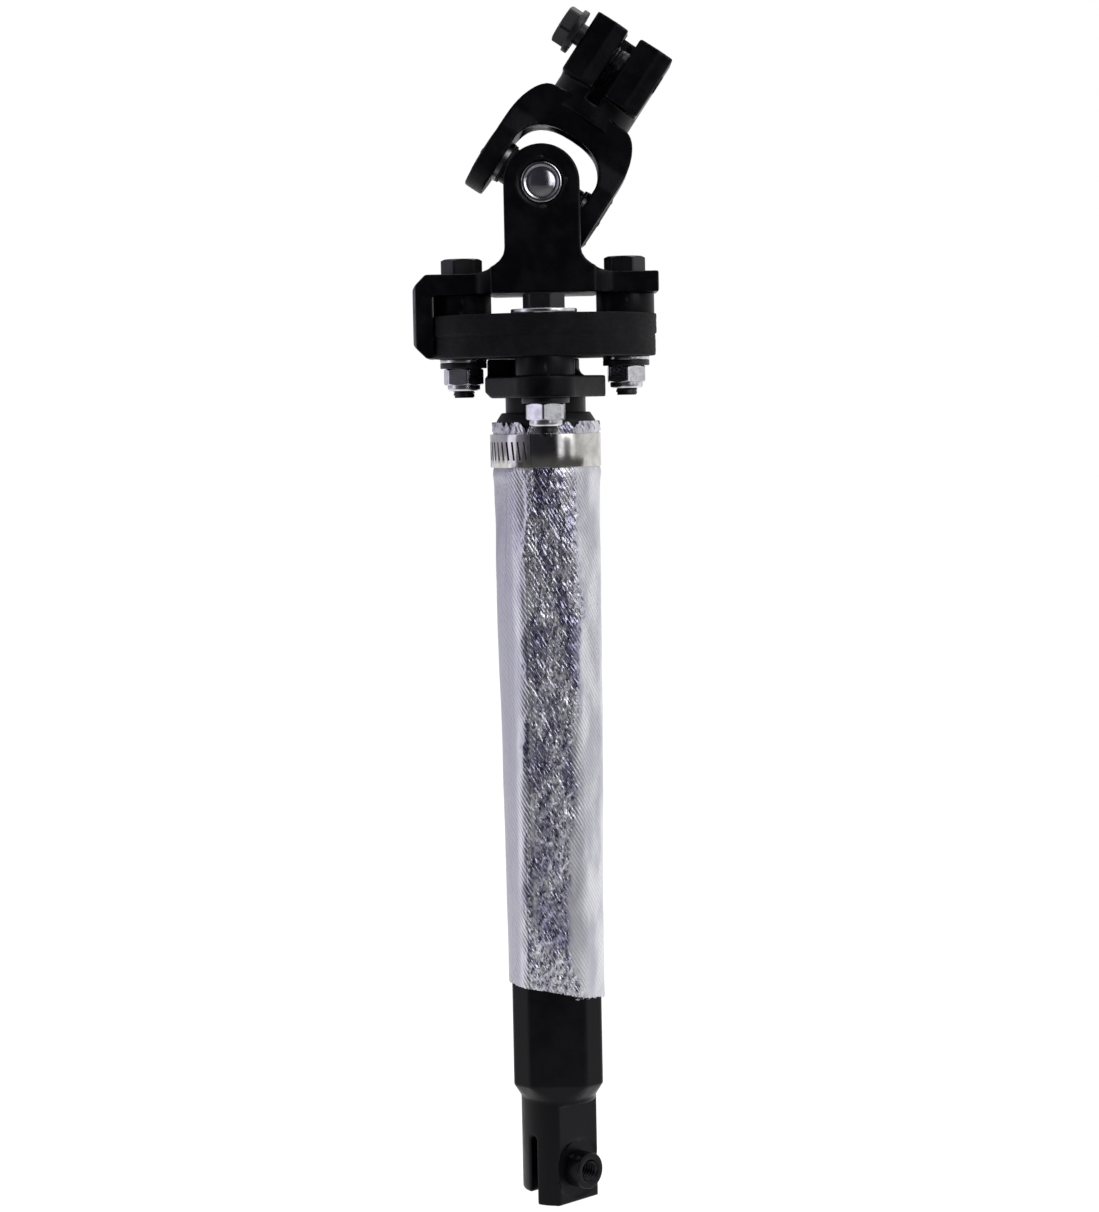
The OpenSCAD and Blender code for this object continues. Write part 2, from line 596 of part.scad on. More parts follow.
module nylon_rear() nylon(0, bolt_reach, end_nut_z);

// the side view of one ear: round top, straight sides and flares at its foot
module ear_side() {
  w = ear_w / 2;
  r = flare_r;
  x1 = flare_reach;
  n = 5;
  // the flare's arc is followed from the ear down to the plate's half width
  a1 = acos((w + r - x1) / r);
  arc = [for (i = [0 : n]) let (a = a1 * i / n) [w + r - r * cos(a), plate_top + r - r * sin(a)]];
  translate([0, joint_z]) circle(r = w);
  polygon(concat([[-w, joint_z], [w, joint_z]], arc, [[x1, plate_z], [-x1, plate_z]],
    [for (i = [n : -1 : 0]) [-arc[i][0], arc[i][1]]]));
}
// a web that runs from the front corner of an ear's foot back to the arm
module web() {
  w = ear_w / 2;
  yo = ear_reach;
  yi = arm_w / 2 - 0.4;
  intersection() {
    translate([0, 0, plate_z]) linear_extrude(height = plate_t + web_rise + 1)
      polygon(concat([[w - 4, yo], [w - 4, yo - ear_t + 1], [w, yi + 1], [web_reach - 1, yi]],
        [for (t = [90 : -15 : 0]) [web_reach - (web_reach - flare_reach) * cos(t), yo - (yo - yi) * sin(t)]]));
    rotate([90, 0, 0]) linear_extrude(height = 2 * yo + 2, center = true)
      polygon(concat([[web_reach + 1, plate_z], [0, plate_z], [0, plate_top + web_rise]],
        [for (t = [0 : 15 : 75]) [web_reach - (web_reach - w) * cos(t), plate_top + web_rise * (1 - sin(t))]],
        [[web_reach + 1, plate_top]]));
  }
}
module strap_yoke() color([0.18, 0.18, 0.2]) difference() {
  union() {
    translate([0, 0, plate_z]) linear_extrude(height = plate_t) {
      x = flare_reach;
      y = ear_reach - ear_t / 2;
      h = arm_w / 2 - 0.4;
      polygon([[x + 5, h], [x + 1.5, h + 1.5], [x, h + 5], [x, y], [-x, y], [-x, h + 5], [-x - 1.5, h + 1.5],
        [-x - 5, h], [-x - 5, -h], [-x - 1.5, -h - 1.5], [-x, -h - 5], [-x, -y], [x, -y], [x, -h - 5],
        [x + 1.5, -h - 1.5], [x + 5, -h]]);
    }
    for (sx = [-1, 1], sy = [-1, 1]) scale([sx, sy, 1]) web();
    intersection() {
      rotate([90, 0, 0]) linear_extrude(height = arm_w, center = true) polygon([
        [plate_reach, plate_z], [plate_reach, plate_top], [-lug_out + lug_bevel, plate_top],
        [-lug_out - 2, plate_top - lug_bevel - 2], [-lug_out - 2, disc_z + lug_rise + lug_bevel + 2],
        [-lug_out + lug_bevel, disc_z + lug_rise], [4 - lug_in, disc_z + lug_rise], [4 - lug_in, plate_z]]);
      difference() {
        cylinder(r = lug_out, h = 1000);
        cylinder(r = lug_in, h = plate_z);
      }
    }
    for (s = [-1, 1]) translate([0, s * (ear_reach - ear_t / 2), 0]) rotate([90, 0, 0])
      linear_extrude(height = ear_t, center = true) ear_side();
    for (s = [-1, 1]) scale([1, s, 1]) rotate([90, 0, 90]) linear_extrude(height = ear_w - 1, center = true)
      polygon([[ear_reach - ear_t + 1, plate_top - 1], [ear_reach - ear_t - 3, plate_top - 1],
        [ear_reach - ear_t - 3, plate_top], [ear_reach - ear_t - 1, plate_top + 1],
        [ear_reach - ear_t, plate_top + 3], [ear_reach - ear_t + 1, plate_top + 3]]);
  }
  for (s = [-1, 1]) translate([s * bolt_reach, 0, plate_z - 1]) cylinder(r = hole_r, h = plate_t + 2);
  joint_frame() rotate([90, 0, 0]) {
    cylinder(d = cup_d, h = 100, center = true);
    for (m = [-1, 1]) translate([0, 0, m * (ear_reach - stake_depth + 5)]) cylinder(d = stake_d, h = 10, center = true);
  }
}

// a cup on +Z with its closed face at cup_reach
module cup() difference() {
  union() {
    translate([0, 0, cup_mouth]) cylinder(d = cup_d, h = cup_len - 0.5);
    translate([0, 0, cup_reach - 0.5]) cylinder(d1 = cup_d, d2 = cup_d - 1, h = 0.5);
  }
  translate([0, 0, cup_mouth - 1]) cylinder(r = cup_bore_r, h = cup_floor - cup_mouth + 1);
}
module ring() translate([0, 0, cup_mouth - ring_t]) tube_ring(cup_d / 2 - 0.2, journal_r + 0.4, ring_t);
module needles() {
  pitch_r = (journal_r + cup_bore_r) / 2;
  r = (cup_bore_r - journal_r) / 2 - needle_gap;
  h = cup_floor - cup_mouth - 0.6;
  for (i = [0 : needle_n - 1]) rotate([0, 0, i * 360 / needle_n])
    translate([pitch_r, 0, cup_mouth + 0.3]) cylinder(r = r, h = h, $fn = 16);
}
module cup_front() color([0.78, 0.78, 0.8]) joint_frame() to_front() cup();
module cup_rear() color([0.78, 0.78, 0.8]) joint_frame() to_rear() cup();
module ring_front() color([0.1, 0.1, 0.1]) joint_frame() to_front() ring();
module ring_rear() color([0.1, 0.1, 0.1]) joint_frame() to_rear() ring();
module strap_needles() color([0.7, 0.7, 0.72]) joint_frame() { to_front() needles(); to_rear() needles(); }
module cup_left() color([0.78, 0.78, 0.8]) fork_frame() to_left() cup();
module cup_right() color([0.78, 0.78, 0.8]) fork_frame() to_right() cup();
module ring_left() color([0.1, 0.1, 0.1]) fork_frame() to_left() ring();
module ring_right() color([0.1, 0.1, 0.1]) fork_frame() to_right() ring();
module fork_needles() color([0.7, 0.7, 0.72]) fork_frame() { to_left() needles(); to_right() needles(); }

module cross() color([0.45, 0.45, 0.47]) fork_frame() {
  for (m = [0, 1]) rotate([0, 0, 90 * m]) rotate([0, 90, 0]) {
    cylinder(r = journal_r, h = 2 * journal_end, center = true);
    cylinder(r = journal_r + 2.2, h = 2 * cross_body, center = true);
  }
  sphere(r = journal_r + 4);
}

// the fork stands along +Z here, with its front towards -Y
module fork_side() {
  o = fork_reach;
  i = fork_reach - fork_t;
  h = clamp_d / 2;
  c = crotch_side_h - 8;
  // the shoulder and the crotch are arcs
  outer = [for (t = [0 : 10 : 90]) [h - 1 + (o - h + 1) * cos(t), 14 + (hub_foot - 13.5) * sin(t)]];
  inner = [for (t = [0 : 10 : 80]) [i * pow(cos(t), 0.8), c + (crotch_h - c) * pow(sin(t), 0.8)]];
  n = len(outer) - 1;
  m = len(inner) - 1;
  polygon(concat([[o, -fork_end_r - 1]], outer, [for (k = [n : -1 : 0]) [-outer[k][0], outer[k][1]]],
    [[-o, -fork_end_r - 1], [-i, -fork_end_r - 1]], [for (k = [0 : m]) [-inner[k][0], inner[k][1]]],
    [[0, crotch_h]], [for (k = [m : -1 : 0]) inner[k]], [[i, -fork_end_r - 1]]));
}
module fork_edge() {
  r = fork_end_r;
  circle(r = r);
  polygon([[-r, 0], [-r + 0.8, 10], [-11, crotch_h - 2], [-11, crotch_h + 4], [-13.6, hub_foot + 1],
    [13.6, hub_foot + 1], [11, crotch_h + 4], [11, crotch_h - 2], [r - 0.8, 10], [r, 0]]);
}
module clamp_section() {
  h = clamp_d / 2;
  a = -(slot_left + h) / 2 + 0.8;
  b = (slot_right + h) / 2 + 0.8;
  circle(r = h);
  polygon([[-h, 0], [-h, -nose_reach + 1.8], [-h + 1, -nose_reach + 0.9], [a - 1, -nose_reach + 0.4],
    [a, -nose_reach], [a + 1, -nose_reach + 0.3], [-slot_left - 1, -nose_reach + 1],
    [-slot_left, -nose_reach + 1.9], [slot_right, -nose_reach + 1.9], [slot_right + 1, -nose_reach + 1],
    [b - 1, -nose_reach + 0.3], [b, -nose_reach], [b + 1, -nose_reach + 0.4],
    [h - 1, -nose_reach + 0.9], [h, -nose_reach + 1.8], [h, 0]]);
}
module upper_fork() color([0.17, 0.17, 0.19]) fork_frame() difference() {
  union() {
    intersection() {
      rotate([90, 0, 0]) linear_extrude(height = 40, center = true) fork_side();
      rotate([90, 0, 90]) linear_extrude(height = 60, center = true) fork_edge();
    }
    translate([0, 0, hub_foot - 4]) cylinder(d = clamp_d, h = mouth_h - hub_foot + 4);
    translate([0, 0, nose_foot]) linear_extrude(height = mouth_h - nose_foot) clamp_section();
    for (m = [0, 1]) mirror([m, 0, 0]) rotate([0, 90, 0])
      cylinder(r = cup_d / 2 + 2.4, h = fork_reach + 0.5);
  }
  rotate([0, 90, 0]) cylinder(r = fork_end_r + 2, h = 2 * (fork_reach - fork_t), center = true);
  translate([0, 0, hub_foot]) cylinder(d = clamp_bore_d, h = mouth_h - hub_foot + 1);
  translate([0, 0, 10]) cylinder(d = clamp_bore_d + 1.4, h = hub_foot - 10);
  rotate([0, 90, 0]) cylinder(d = cup_d, h = 100, center = true);
  for (m = [0, 1]) mirror([m, 0, 0]) rotate([0, 90, 0]) translate([0, 0, fork_reach])
    cylinder(d = stake_d, h = 5);
  translate([-slot_left, -40, hub_foot + 2]) cube([slot_left + slot_right, 40, 60]);
  translate([0, -clamp_bolt_v, clamp_bolt_h]) rotate([0, 90, 0]) {
    cylinder(d = clamp_bolt_d, h = 40);
    translate([0, 0, -40]) cylinder(d = clamp_bolt_d + 0.4, h = 40);
  }
}
module clamp_bolt() color([0.16, 0.16, 0.17]) fork_frame()
  translate([-clamp_d / 2 - bolt_loose - clamp_washer_t, -clamp_bolt_v, clamp_bolt_h]) {
    rotate([0, -90, 0]) rotate([0, 0, 14]) hex_head(bolt_af, clamp_head_h);
    rotate([0, 90, 0]) cylinder(d = clamp_bolt_d, h = clamp_d + bolt_loose + clamp_washer_t + 0.4);
  }
module clamp_washer() color([0.2, 0.2, 0.22]) fork_frame()
  translate([-clamp_d / 2 - bolt_loose, -clamp_bolt_v, clamp_bolt_h])
    rotate([0, -90, 0]) tube_ring(clamp_washer_d / 2, clamp_bolt_d / 2, clamp_washer_t);

outer_tube();
pinch_nut();
dust_seal();
heat_shield();
clamp_band();
clamp_housing();
clamp_screw();
inner_shaft();
slide_bush();
lower_flange();
coupling_disc();
spacer_left();
spacer_right();
spacer_front();
spacer_rear();
bolt_left();
bolt_right();
bolt_front();
bolt_rear();
broad_washer_front();
broad_washer_rear();
bright_washer_left();
bright_washer_right();
dark_washer_left();
dark_washer_right();
dark_washer_front();
dark_washer_rear();
nut_left();
nut_right();
nut_front();
nut_rear();
nylon_left();
nylon_right();
nylon_front();
nylon_rear();
strap_yoke();
cup_front();
cup_rear();
ring_front();
ring_rear();
strap_needles();
cross();
upper_fork();
cup_left();
cup_right();
ring_left();
ring_right();
fork_needles();
clamp_bolt();
clamp_washer();
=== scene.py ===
# Looks of a lower steering column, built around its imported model.
# Sizes are written in millimetres; a mesh is made in metres.
import json
import math
import bmesh
import bpy
from mathutils import Matrix, Vector, noise


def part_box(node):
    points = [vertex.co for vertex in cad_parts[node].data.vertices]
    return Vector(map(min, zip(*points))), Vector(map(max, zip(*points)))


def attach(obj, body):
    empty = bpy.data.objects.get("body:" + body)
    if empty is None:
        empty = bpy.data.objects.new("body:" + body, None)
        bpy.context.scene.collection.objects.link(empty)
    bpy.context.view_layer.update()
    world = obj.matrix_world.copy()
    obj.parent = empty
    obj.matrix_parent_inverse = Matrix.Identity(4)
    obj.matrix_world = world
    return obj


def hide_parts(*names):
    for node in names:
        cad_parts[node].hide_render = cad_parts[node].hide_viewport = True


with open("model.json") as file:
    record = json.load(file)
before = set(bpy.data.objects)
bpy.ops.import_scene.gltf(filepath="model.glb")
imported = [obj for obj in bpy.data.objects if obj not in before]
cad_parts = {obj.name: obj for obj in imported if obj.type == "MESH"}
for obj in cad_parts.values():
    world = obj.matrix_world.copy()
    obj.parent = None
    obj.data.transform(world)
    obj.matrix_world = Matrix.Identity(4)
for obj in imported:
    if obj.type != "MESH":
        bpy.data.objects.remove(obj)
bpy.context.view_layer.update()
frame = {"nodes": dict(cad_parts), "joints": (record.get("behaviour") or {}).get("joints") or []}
nodes = frame["nodes"]
mm = 0.001
print("frame loaded:", len(nodes), "nodes")


def low(node):
    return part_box(node)[0] / mm


def high(node):
    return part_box(node)[1] / mm


def middle(node):
    return (low(node) + high(node)) / 2


joints = {joint["name"]: joint for joint in frame["joints"]}
jointZ = joints["strap_hinge"]["pos_m"][2] / mm
forkAxis = joints["fork_hinge"]["axis"]
forkTilt = math.atan2(-forkAxis[2], forkAxis[0])
# the fork's own frame: its bore runs up +Z from the joint's centre, its front is -Y
forkPlace = Matrix.Translation((0, 0, jointZ)) @ Matrix.Rotation(forkTilt, 4, "Y")


# Trees of nodes

# a socket in a sum: each operator adds the Math node that it stands for
class Term:
    def __init__(self, tree, socket):
        self.tree = tree
        self.socket = socket

    def math(self, operation, *others, clamp=False):
        settings = {"operation": operation, "use_clamp": clamp}
        return self.tree.add("ShaderNodeMath", settings, dict(enumerate((self, *others))))

    def swapped(self, operation, other):
        return self.tree.add("ShaderNodeMath", {"operation": operation}, {0: other, 1: self})

    def __add__(self, other):
        return self.math("ADD", other)

    def __sub__(self, other):
        return self.math("SUBTRACT", other)

    def __rsub__(self, other):
        return self.swapped("SUBTRACT", other)

    def __mul__(self, other):
        return self.math("MULTIPLY", other)

    def __truediv__(self, other):
        return self.math("DIVIDE", other)

    def __rtruediv__(self, other):
        return self.swapped("DIVIDE", other)

    def __pow__(self, other):
        return self.math("POWER", other)

    def __gt__(self, other):
        return self.math("GREATER_THAN", other)

    def __lt__(self, other):
        return self.math("LESS_THAN", other)

    def __abs__(self):
        return self.math("ABSOLUTE")

    __radd__ = __add__
    __rmul__ = __mul__


# what shader trees and Geometry Nodes trees have in common
class Tree:
    def __init__(self, tree):
        self.tree = tree

    def add(self, kind, settings=None, values=None, output=0):
        node = self.tree.nodes.new(kind)
        for key, value in (settings or {}).items():
            if key == "stops":
                ramp = node.color_ramp.elements
                while len(ramp) < len(value):
                    ramp.new(0.5)
                for stop, (position, colour) in zip(ramp, value):
                    stop.position = position
                    stop.color = (*colour, 1)
            else:
                setattr(node, key, value)
        for key, value in (values or {}).items():
            self.feed(node.inputs[key], value)
        return Term(self, node.outputs[output])

    def feed(self, socket, value):
        if isinstance(value, Term):
            self.tree.links.new(value.socket, socket)
        elif isinstance(value, (list, tuple)) and isinstance(value[0], Term):
            for term in value:
                self.tree.links.new(term.socket, socket)
        else:
            socket.default_value = value

    # 0 to 1 as a value goes from start to end
    def span(self, value, start, end, to=(0, 1), smooth=True):
        kind = "SMOOTHSTEP" if smooth else "LINEAR"
        return self.add("ShaderNodeMapRange", {"interpolation_type": kind},
                        {0: value, 1: start, 2: end, 3: to[0], 4: to[1]})


# a material with one Principled shader; constants go straight to its sockets
class Finish(Tree):
    def __init__(self, name, constants):
        self.material = bpy.data.materials.new(name)
        self.material.use_nodes = True
        super().__init__(self.material.node_tree)
        self.tree.nodes.clear()
        self.output = self.tree.nodes.new("ShaderNodeOutputMaterial")
        self.shader = self.tree.nodes.new("ShaderNodeBsdfPrincipled")
        self.tree.links.new(self.shader.outputs[0], self.output.inputs[0])
        self.set(constants)
        place = self.add("ShaderNodeTexCoord", output="Object")
        self.place = self.scaled(place, 1 / mm)

    def set(self, values):
        for key, value in values.items():
            if isinstance(value, tuple) and len(value) == 3:
                value = (*value, 1)
            self.feed(self.shader.inputs[key], value)
        return self

    def scaled(self, vector, factor):
        if isinstance(factor, tuple):
            return self.add("ShaderNodeVectorMath", {"operation": "MULTIPLY"}, {0: vector, 1: factor})
        return self.add("ShaderNodeVectorMath", {"operation": "SCALE"}, {0: vector, "Scale": factor})

    # the place in mm, counted from a point and turned
    def seen(self, centre, turn=(0, 0, 0)):
        inverse = Matrix.LocRotScale(centre, None, None)
        vector = self.add("ShaderNodeMapping", {"vector_type": "TEXTURE"},
                          {"Vector": self.place, "Location": inverse.translation, "Rotation": turn})
        return vector

    def parts(self, vector):
        node = self.add("ShaderNodeSeparateXYZ", None, {0: vector})
        outs = node.socket.node.outputs
        return [Term(self, outs[i]) for i in range(3)]

    # noise with grains of about this size in mm
    def grain(self, size, detail=3, rough=0.55, vector=None, stretch=None, warp=0):
        vector = vector or self.place
        if stretch:
            vector = self.scaled(vector, stretch)
        return self.add("ShaderNodeTexNoise", None, {"Vector": vector, "Scale": 1 / size, "Detail": detail,
                                                     "Roughness": rough, "Distortion": warp})

    def cells(self, size, feature="F1", vector=None, output=0):
        return self.add("ShaderNodeTexVoronoi", {"feature": feature},
                        {"Vector": vector or self.place, "Scale": 1 / size}, output)

    def mix(self, factor, first, second):
        values = {0: factor, 6: first, 7: second}
        values = {k: (*v, 1) if isinstance(v, tuple) and len(v) == 3 else v for k, v in values.items()}
        return self.add("ShaderNodeMix", {"data_type": "RGBA"}, values, output=2)

    def bump(self, height, distance, strength=1.0, under=None):
        values = {"Height": height, "Distance": distance * mm, "Strength": strength}
        if under:
            values["Normal"] = under
        return self.add("ShaderNodeBump", None, values)

    def attribute(self, name):
        return self.add("ShaderNodeAttribute", {"attribute_name": name}, output="Fac")

    # 1 on outer edges, 0 elsewhere
    def edges(self, start=0.53, end=0.6):
        pointed = self.add("ShaderNodeNewGeometry", output="Pointiness")
        return self.span(pointed, start, end)


# Finishes

# worn is the paler edge colour: rubbed wear and a painted highlight along the edges
steelLook = {"flat": (0.0030, 0.0026, 0.0042), "cloudy": (0.0062, 0.0052, 0.0080), "wornAndPaintedHighlight": (0.05, 0.048, 0.058),
             "cloudSize": 9, "peelSize": 0.9}


# black coated steel: clouded, with a fine peel, and outer edges painted paler, partly as rubbed wear and partly as a
# painted highlight along them
def blackSteelFinish(name="blackSteel", rough=0.25, forged=0.0, rubbedAndPaintedHighlight=0.75):
    look = steelLook
    finish = Finish(name, {"Specular IOR Level": 0.12})
    clouds = finish.grain(look["cloudSize"], 4, 0.6)
    # mask of the paler outer edges: rubbed wear and a painted highlight
    edge = finish.edges(0.52, 0.58) * finish.span(finish.grain(2.5, 4), 0.4, 0.62)
    colour = finish.mix(finish.span(clouds, 0.35, 0.68), look["flat"], look["cloudy"])
    peel = finish.grain(look["peelSize"], 3)
    pits = finish.grain(3.2, 5, 0.62)
    bumped = finish.bump(peel, 0.02 + 0.02 * forged, 0.5)
    if forged:
        bumped = finish.bump(pits, 0.12 * forged, 0.6, bumped)
    return finish.set({
        "Base Color": finish.mix(edge * rubbedAndPaintedHighlight, colour, look["wornAndPaintedHighlight"]) if rubbedAndPaintedHighlight else colour,
        "Roughness": rough + 0.16 * finish.span(clouds, 0.35, 0.7) + 0.1 * peel,
        "Normal": bumped}).material


# phosphated screws and washers: dull dark grey with a crystal grain
def darkHardwareFinish():
    finish = Finish("darkHardware", {"Specular IOR Level": 0.4})
    crystals = finish.grain(0.6, 3)
    clouds = finish.grain(5, 4)
    colour = finish.mix(finish.span(clouds, 0.35, 0.65), (0.0065, 0.006, 0.009), (0.012, 0.011, 0.015))
    return finish.set({
        "Base Color": colour,
        "Roughness": 0.3 + 0.16 * clouds + 0.05 * crystals,
        "Normal": finish.bump(crystals, 0.015, 0.4)}).material


# bright zinc: slightly mottled, with fine die marks round each flat
def platedFinish():
    finish = Finish("zincPlate", {"Metallic": 1.0})
    clouds = finish.grain(2.6, 4)
    marks = finish.grain(0.5, 3, stretch=(1, 1, 7))
    colour = finish.mix(finish.span(clouds, 0.36, 0.66), (0.70, 0.70, 0.73), (0.52, 0.52, 0.55))
    stained = finish.span(finish.grain(1.1, 5, 0.65), 0.6, 0.74)
    return finish.set({
        "Base Color": finish.mix(stained * 0.5, colour, (0.3, 0.29, 0.3)),
        "Roughness": 0.13 + 0.12 * clouds + 0.05 * marks,
        "Normal": finish.bump(marks, 0.025, 0.6)}).material


# natural nylon, a little yellowed and moulded dull
def nylonFinish():
    finish = Finish("nylonRing", {"Subsurface Weight": 0.0})
    clouds = finish.grain(1.4, 3)
    return finish.set({
        "Base Color": finish.mix(clouds, (0.72, 0.72, 0.68), (0.82, 0.81, 0.76)),
        "Roughness": 0.5 + 0.15 * clouds,
        "Normal": finish.bump(finish.grain(0.3, 2), 0.02, 0.4)}).material


# ground bearing steel with turning rings around one axis through the joint; a shade below 1 darkens it as painted shade
# and makes it rougher
def bearingFinish(name, axis, paintedShade=1.0):
    finish = Finish(name, {"Metallic": 1.0})
    centred = finish.add("ShaderNodeVectorMath", {"operation": "SUBTRACT"}, {0: finish.place, 1: (0, 0, jointZ)})
    along = finish.add("ShaderNodeVectorMath", {"operation": "CROSS_PRODUCT"}, {0: centred, 1: tuple(axis)})
    radius = finish.add("ShaderNodeVectorMath", {"operation": "LENGTH"}, {0: along}, output="Value")
    rings = (radius * 14).math("SINE")
    smudge = finish.grain(5.0, 3)
    return finish.set({
        "Base Color": finish.mix(finish.span(smudge, 0.4, 0.65), tuple(v * paintedShade for v in (0.76, 0.75, 0.79)), tuple(v * paintedShade for v in (0.62, 0.61, 0.65))),
        "Roughness": 0.11 + 0.08 * smudge + 0.2 * (1 - paintedShade),
        "Normal": finish.bump(rings * 0.5 + smudge, 0.006, 0.3)}).material


# plain black rubber with a bloom
def rubberFinish():
    finish = Finish("sealRubber", {"Specular IOR Level": 0.35})
    bloom = finish.grain(4, 4)
    return finish.set({
        "Base Color": finish.mix(finish.span(bloom, 0.4, 0.7), (0.007, 0.007, 0.008), (0.016, 0.016, 0.018)),
        "Roughness": 0.52 + 0.2 * bloom,
        "Normal": finish.bump(finish.grain(0.5, 3), 0.04, 0.6)}).material


# layered rubber and cord: matt, with fibres that run round the rim and a dusty bloom
def discFinish():
    finish = Finish("discRubber", {"Specular IOR Level": 0.16})
    x, y, z = finish.parts(finish.place)
    round_ = y.math("ARCTAN2", x) * 40
    lay = finish.add("ShaderNodeCombineXYZ", None, {0: round_ * 0.22, 1: z * 1.6, 2: 0.0})
    fibres = finish.grain(1.0, 5, 0.7, vector=lay)
    dust = finish.grain(7, 5, 0.6)
    colour = finish.mix(finish.span(dust, 0.4, 0.68), (0.0055, 0.005, 0.0064), (0.0115, 0.0105, 0.0125))
    return finish.set({
        "Base Color": finish.mix(finish.span(fibres, 0.55, 0.75) * 0.5, colour, (0.028, 0.027, 0.030)),
        "Roughness": 0.6 + 0.25 * fibres,
        "Normal": finish.bump(fibres, 0.16, 0.8)}).material


# satin stainless band with marks that run along it
def bandFinish():
    finish = Finish("bandSteel", {"Metallic": 1.0})
    x, y, z = finish.parts(finish.place)
    lay = finish.add("ShaderNodeCombineXYZ", None, {0: y.math("ARCTAN2", x) * 0.6, 1: z * 6, 2: 0.0})
    drawn = finish.grain(1.0, 4, 0.7, vector=lay)
    smudge = finish.grain(4.5, 4)
    return finish.set({
        "Base Color": finish.mix(finish.span(smudge, 0.35, 0.68), (0.6, 0.585, 0.56), (0.46, 0.45, 0.435)),
        "Roughness": 0.08 + 0.04 * drawn + 0.05 * smudge,
        "Normal": finish.bump(drawn, 0.015, 0.5)}).material


# creased is the dark colour of the crushed band: partly cracked foil, partly painted shade and painted dark reflection
foilLook = {"bright": (0.86, 0.86, 0.90), "dull": (0.56, 0.55, 0.62), "creased": (0.3, 0.285, 0.42),
            # left is the colour of the smooth left side, darker and mauve: painted shade tinted like the light on that
            # side
            "left": (0.5, 0.495, 0.55), "weavePitch": 1.1}


# foil on glass cloth: the weave prints through; hard creases are dull and darker, partly as cracked foil and partly as
# painted shade and painted dark reflection
def foilFinish():
    look = foilLook
    finish = Finish("foilCloth", {"Metallic": 1.0})
    creased = finish.attribute("creased")
    printed = finish.attribute("printed")
    around, up, unused = finish.parts(finish.add("ShaderNodeUVMap", {"uv_map": "cloth"}))
    around = around / mm
    up = up / mm
    slant = around * 0.87 + up * 0.5
    threads = (slant * (2 * math.pi / look["weavePitch"]) + 2.5 * finish.grain(4, 3)).math("SINE")
    weave = finish.span(threads + 3 * finish.grain(1.0, 4, stretch=(1, 1, 0.7)), 0.6, 2.4)
    tall = finish.scaled(finish.place, (1, 1, 0.42))
    borders = finish.cells(1.9, "DISTANCE_TO_EDGE", finish.add(
        "ShaderNodeVectorMath", {"operation": "ADD"},
        {0: tall, 1: finish.scaled(finish.add("ShaderNodeTexNoise", None, {"Vector": tall, "Scale": 0.8}, 1), 1.6)}))
    facet = finish.parts(finish.cells(1.9, vector=tall, output=1))[0]
    dents = finish.grain(0.9, 4, 0.65)
    patches = finish.span(finish.grain(7, 4, 0.6, stretch=(1, 1, 0.35)), 0.56, 0.42)
    breaks = finish.span(finish.grain(2.2, 4, 0.7, stretch=(1, 1, 0.4)), 0.42, 0.5)
    shards = finish.span(borders, 0.2, 0.06) * breaks * (1 - 0.7 * patches)
    # darkening of the crushed band: partly cracked foil, partly painted shade and painted dark reflection, broken up by
    # bright shards
    dark = creased * (1 - shards) * (0.3 + 0.7 * patches)
    colour = finish.mix(finish.span(finish.grain(6, 4, stretch=(1, 1, 0.3)), 0.35, 0.7), look["bright"], look["dull"])
    # the smooth left side painted darker and mauve: painted shade tinted like the light on that side
    colour = finish.mix(finish.span(around, -11.5, -14, to=(0, 1)) * (1 - creased), colour, look["left"])
    colour = finish.mix((1 - weave) * (0.2 + 0.2 * printed), colour, look["dull"])
    colour = finish.mix(dark, colour, look["creased"])
    seam = finish.span((around + 9.4 + 0.5 * finish.grain(12, 2)).math("ABSOLUTE"), 0.3, 0.12)
    colour = finish.mix(seam * finish.span(up, 165, 110) * 0.75, colour, look["creased"])
    rough = 0.15 + 0.08 * dents + 0.22 * (1 - creased) + 0.2 * shards * creased
    lower = finish.bump(weave, 0.12, 0.6 + 0.4 * printed)
    creasedBump = finish.bump((facet * 0.7 - borders) * creased * (1 - 0.6 * patches), 0.6, 0.9, lower)
    return finish.set({
        "Base Color": colour,
        "Roughness": rough,
        "Normal": finish.bump(dents, 0.035, 0.5, creasedBump)}).material


finishes = {
    "black_steel": blackSteelFinish(),
    "forged": blackSteelFinish("forgedSteel", 0.27, 1.0),
    "machined": blackSteelFinish("machinedSteel", 0.22, rubbedAndPaintedHighlight=0),
    "dark_hardware": darkHardwareFinish(),
    "plated_hardware": platedFinish(),
    "nylon": nylonFinish(),
    "bearing_steel": bearingFinish("bearingSteel", (0, 1, 0)),
    # the fork's cups and needles: bearing steel darkened by painted shade
    "fork_bearing_painted_shade": bearingFinish("forkBearingSteel", forkAxis, 0.22),
    "rubber_seal": rubberFinish(),
    "disc_rubber": discFinish(),
    "foil_cloth": foilFinish(),
    "clamp_steel": bandFinish(),
}
print("finishes made:", len(finishes))


# Meshes

def newPiece(name, mesh):
    piece = bpy.data.objects.new(name, mesh)
    bpy.context.scene.collection.objects.link(piece)
    return piece


# smooth faces, with the edges that turn by more than this many degrees kept sharp
def shadeBy(mesh, angle=32):
    mesh.shade_smooth()
    mesh.set_sharp_from_angle(angle=math.radians(angle))


# a mesh from points in mm, its doubles merged and its faces turned outwards
def meshFrom(name, points, faces, place=None, angle=32):
    mesh = bpy.data.meshes.new(name)
    mesh.from_pydata([tuple(Vector(point) * mm) for point in points], [], faces)
    if place:
        scaledPlace = place.copy()
        scaledPlace.translation = place.translation * mm
        mesh.transform(scaledPlace)
    work = bmesh.new()
    work.from_mesh(mesh)
    bmesh.ops.remove_doubles(work, verts=work.verts, dist=1e-6)
    bmesh.ops.recalc_face_normals(work, faces=work.faces)
    work.to_mesh(mesh)
    work.free()
    shadeBy(mesh, angle)
    return mesh


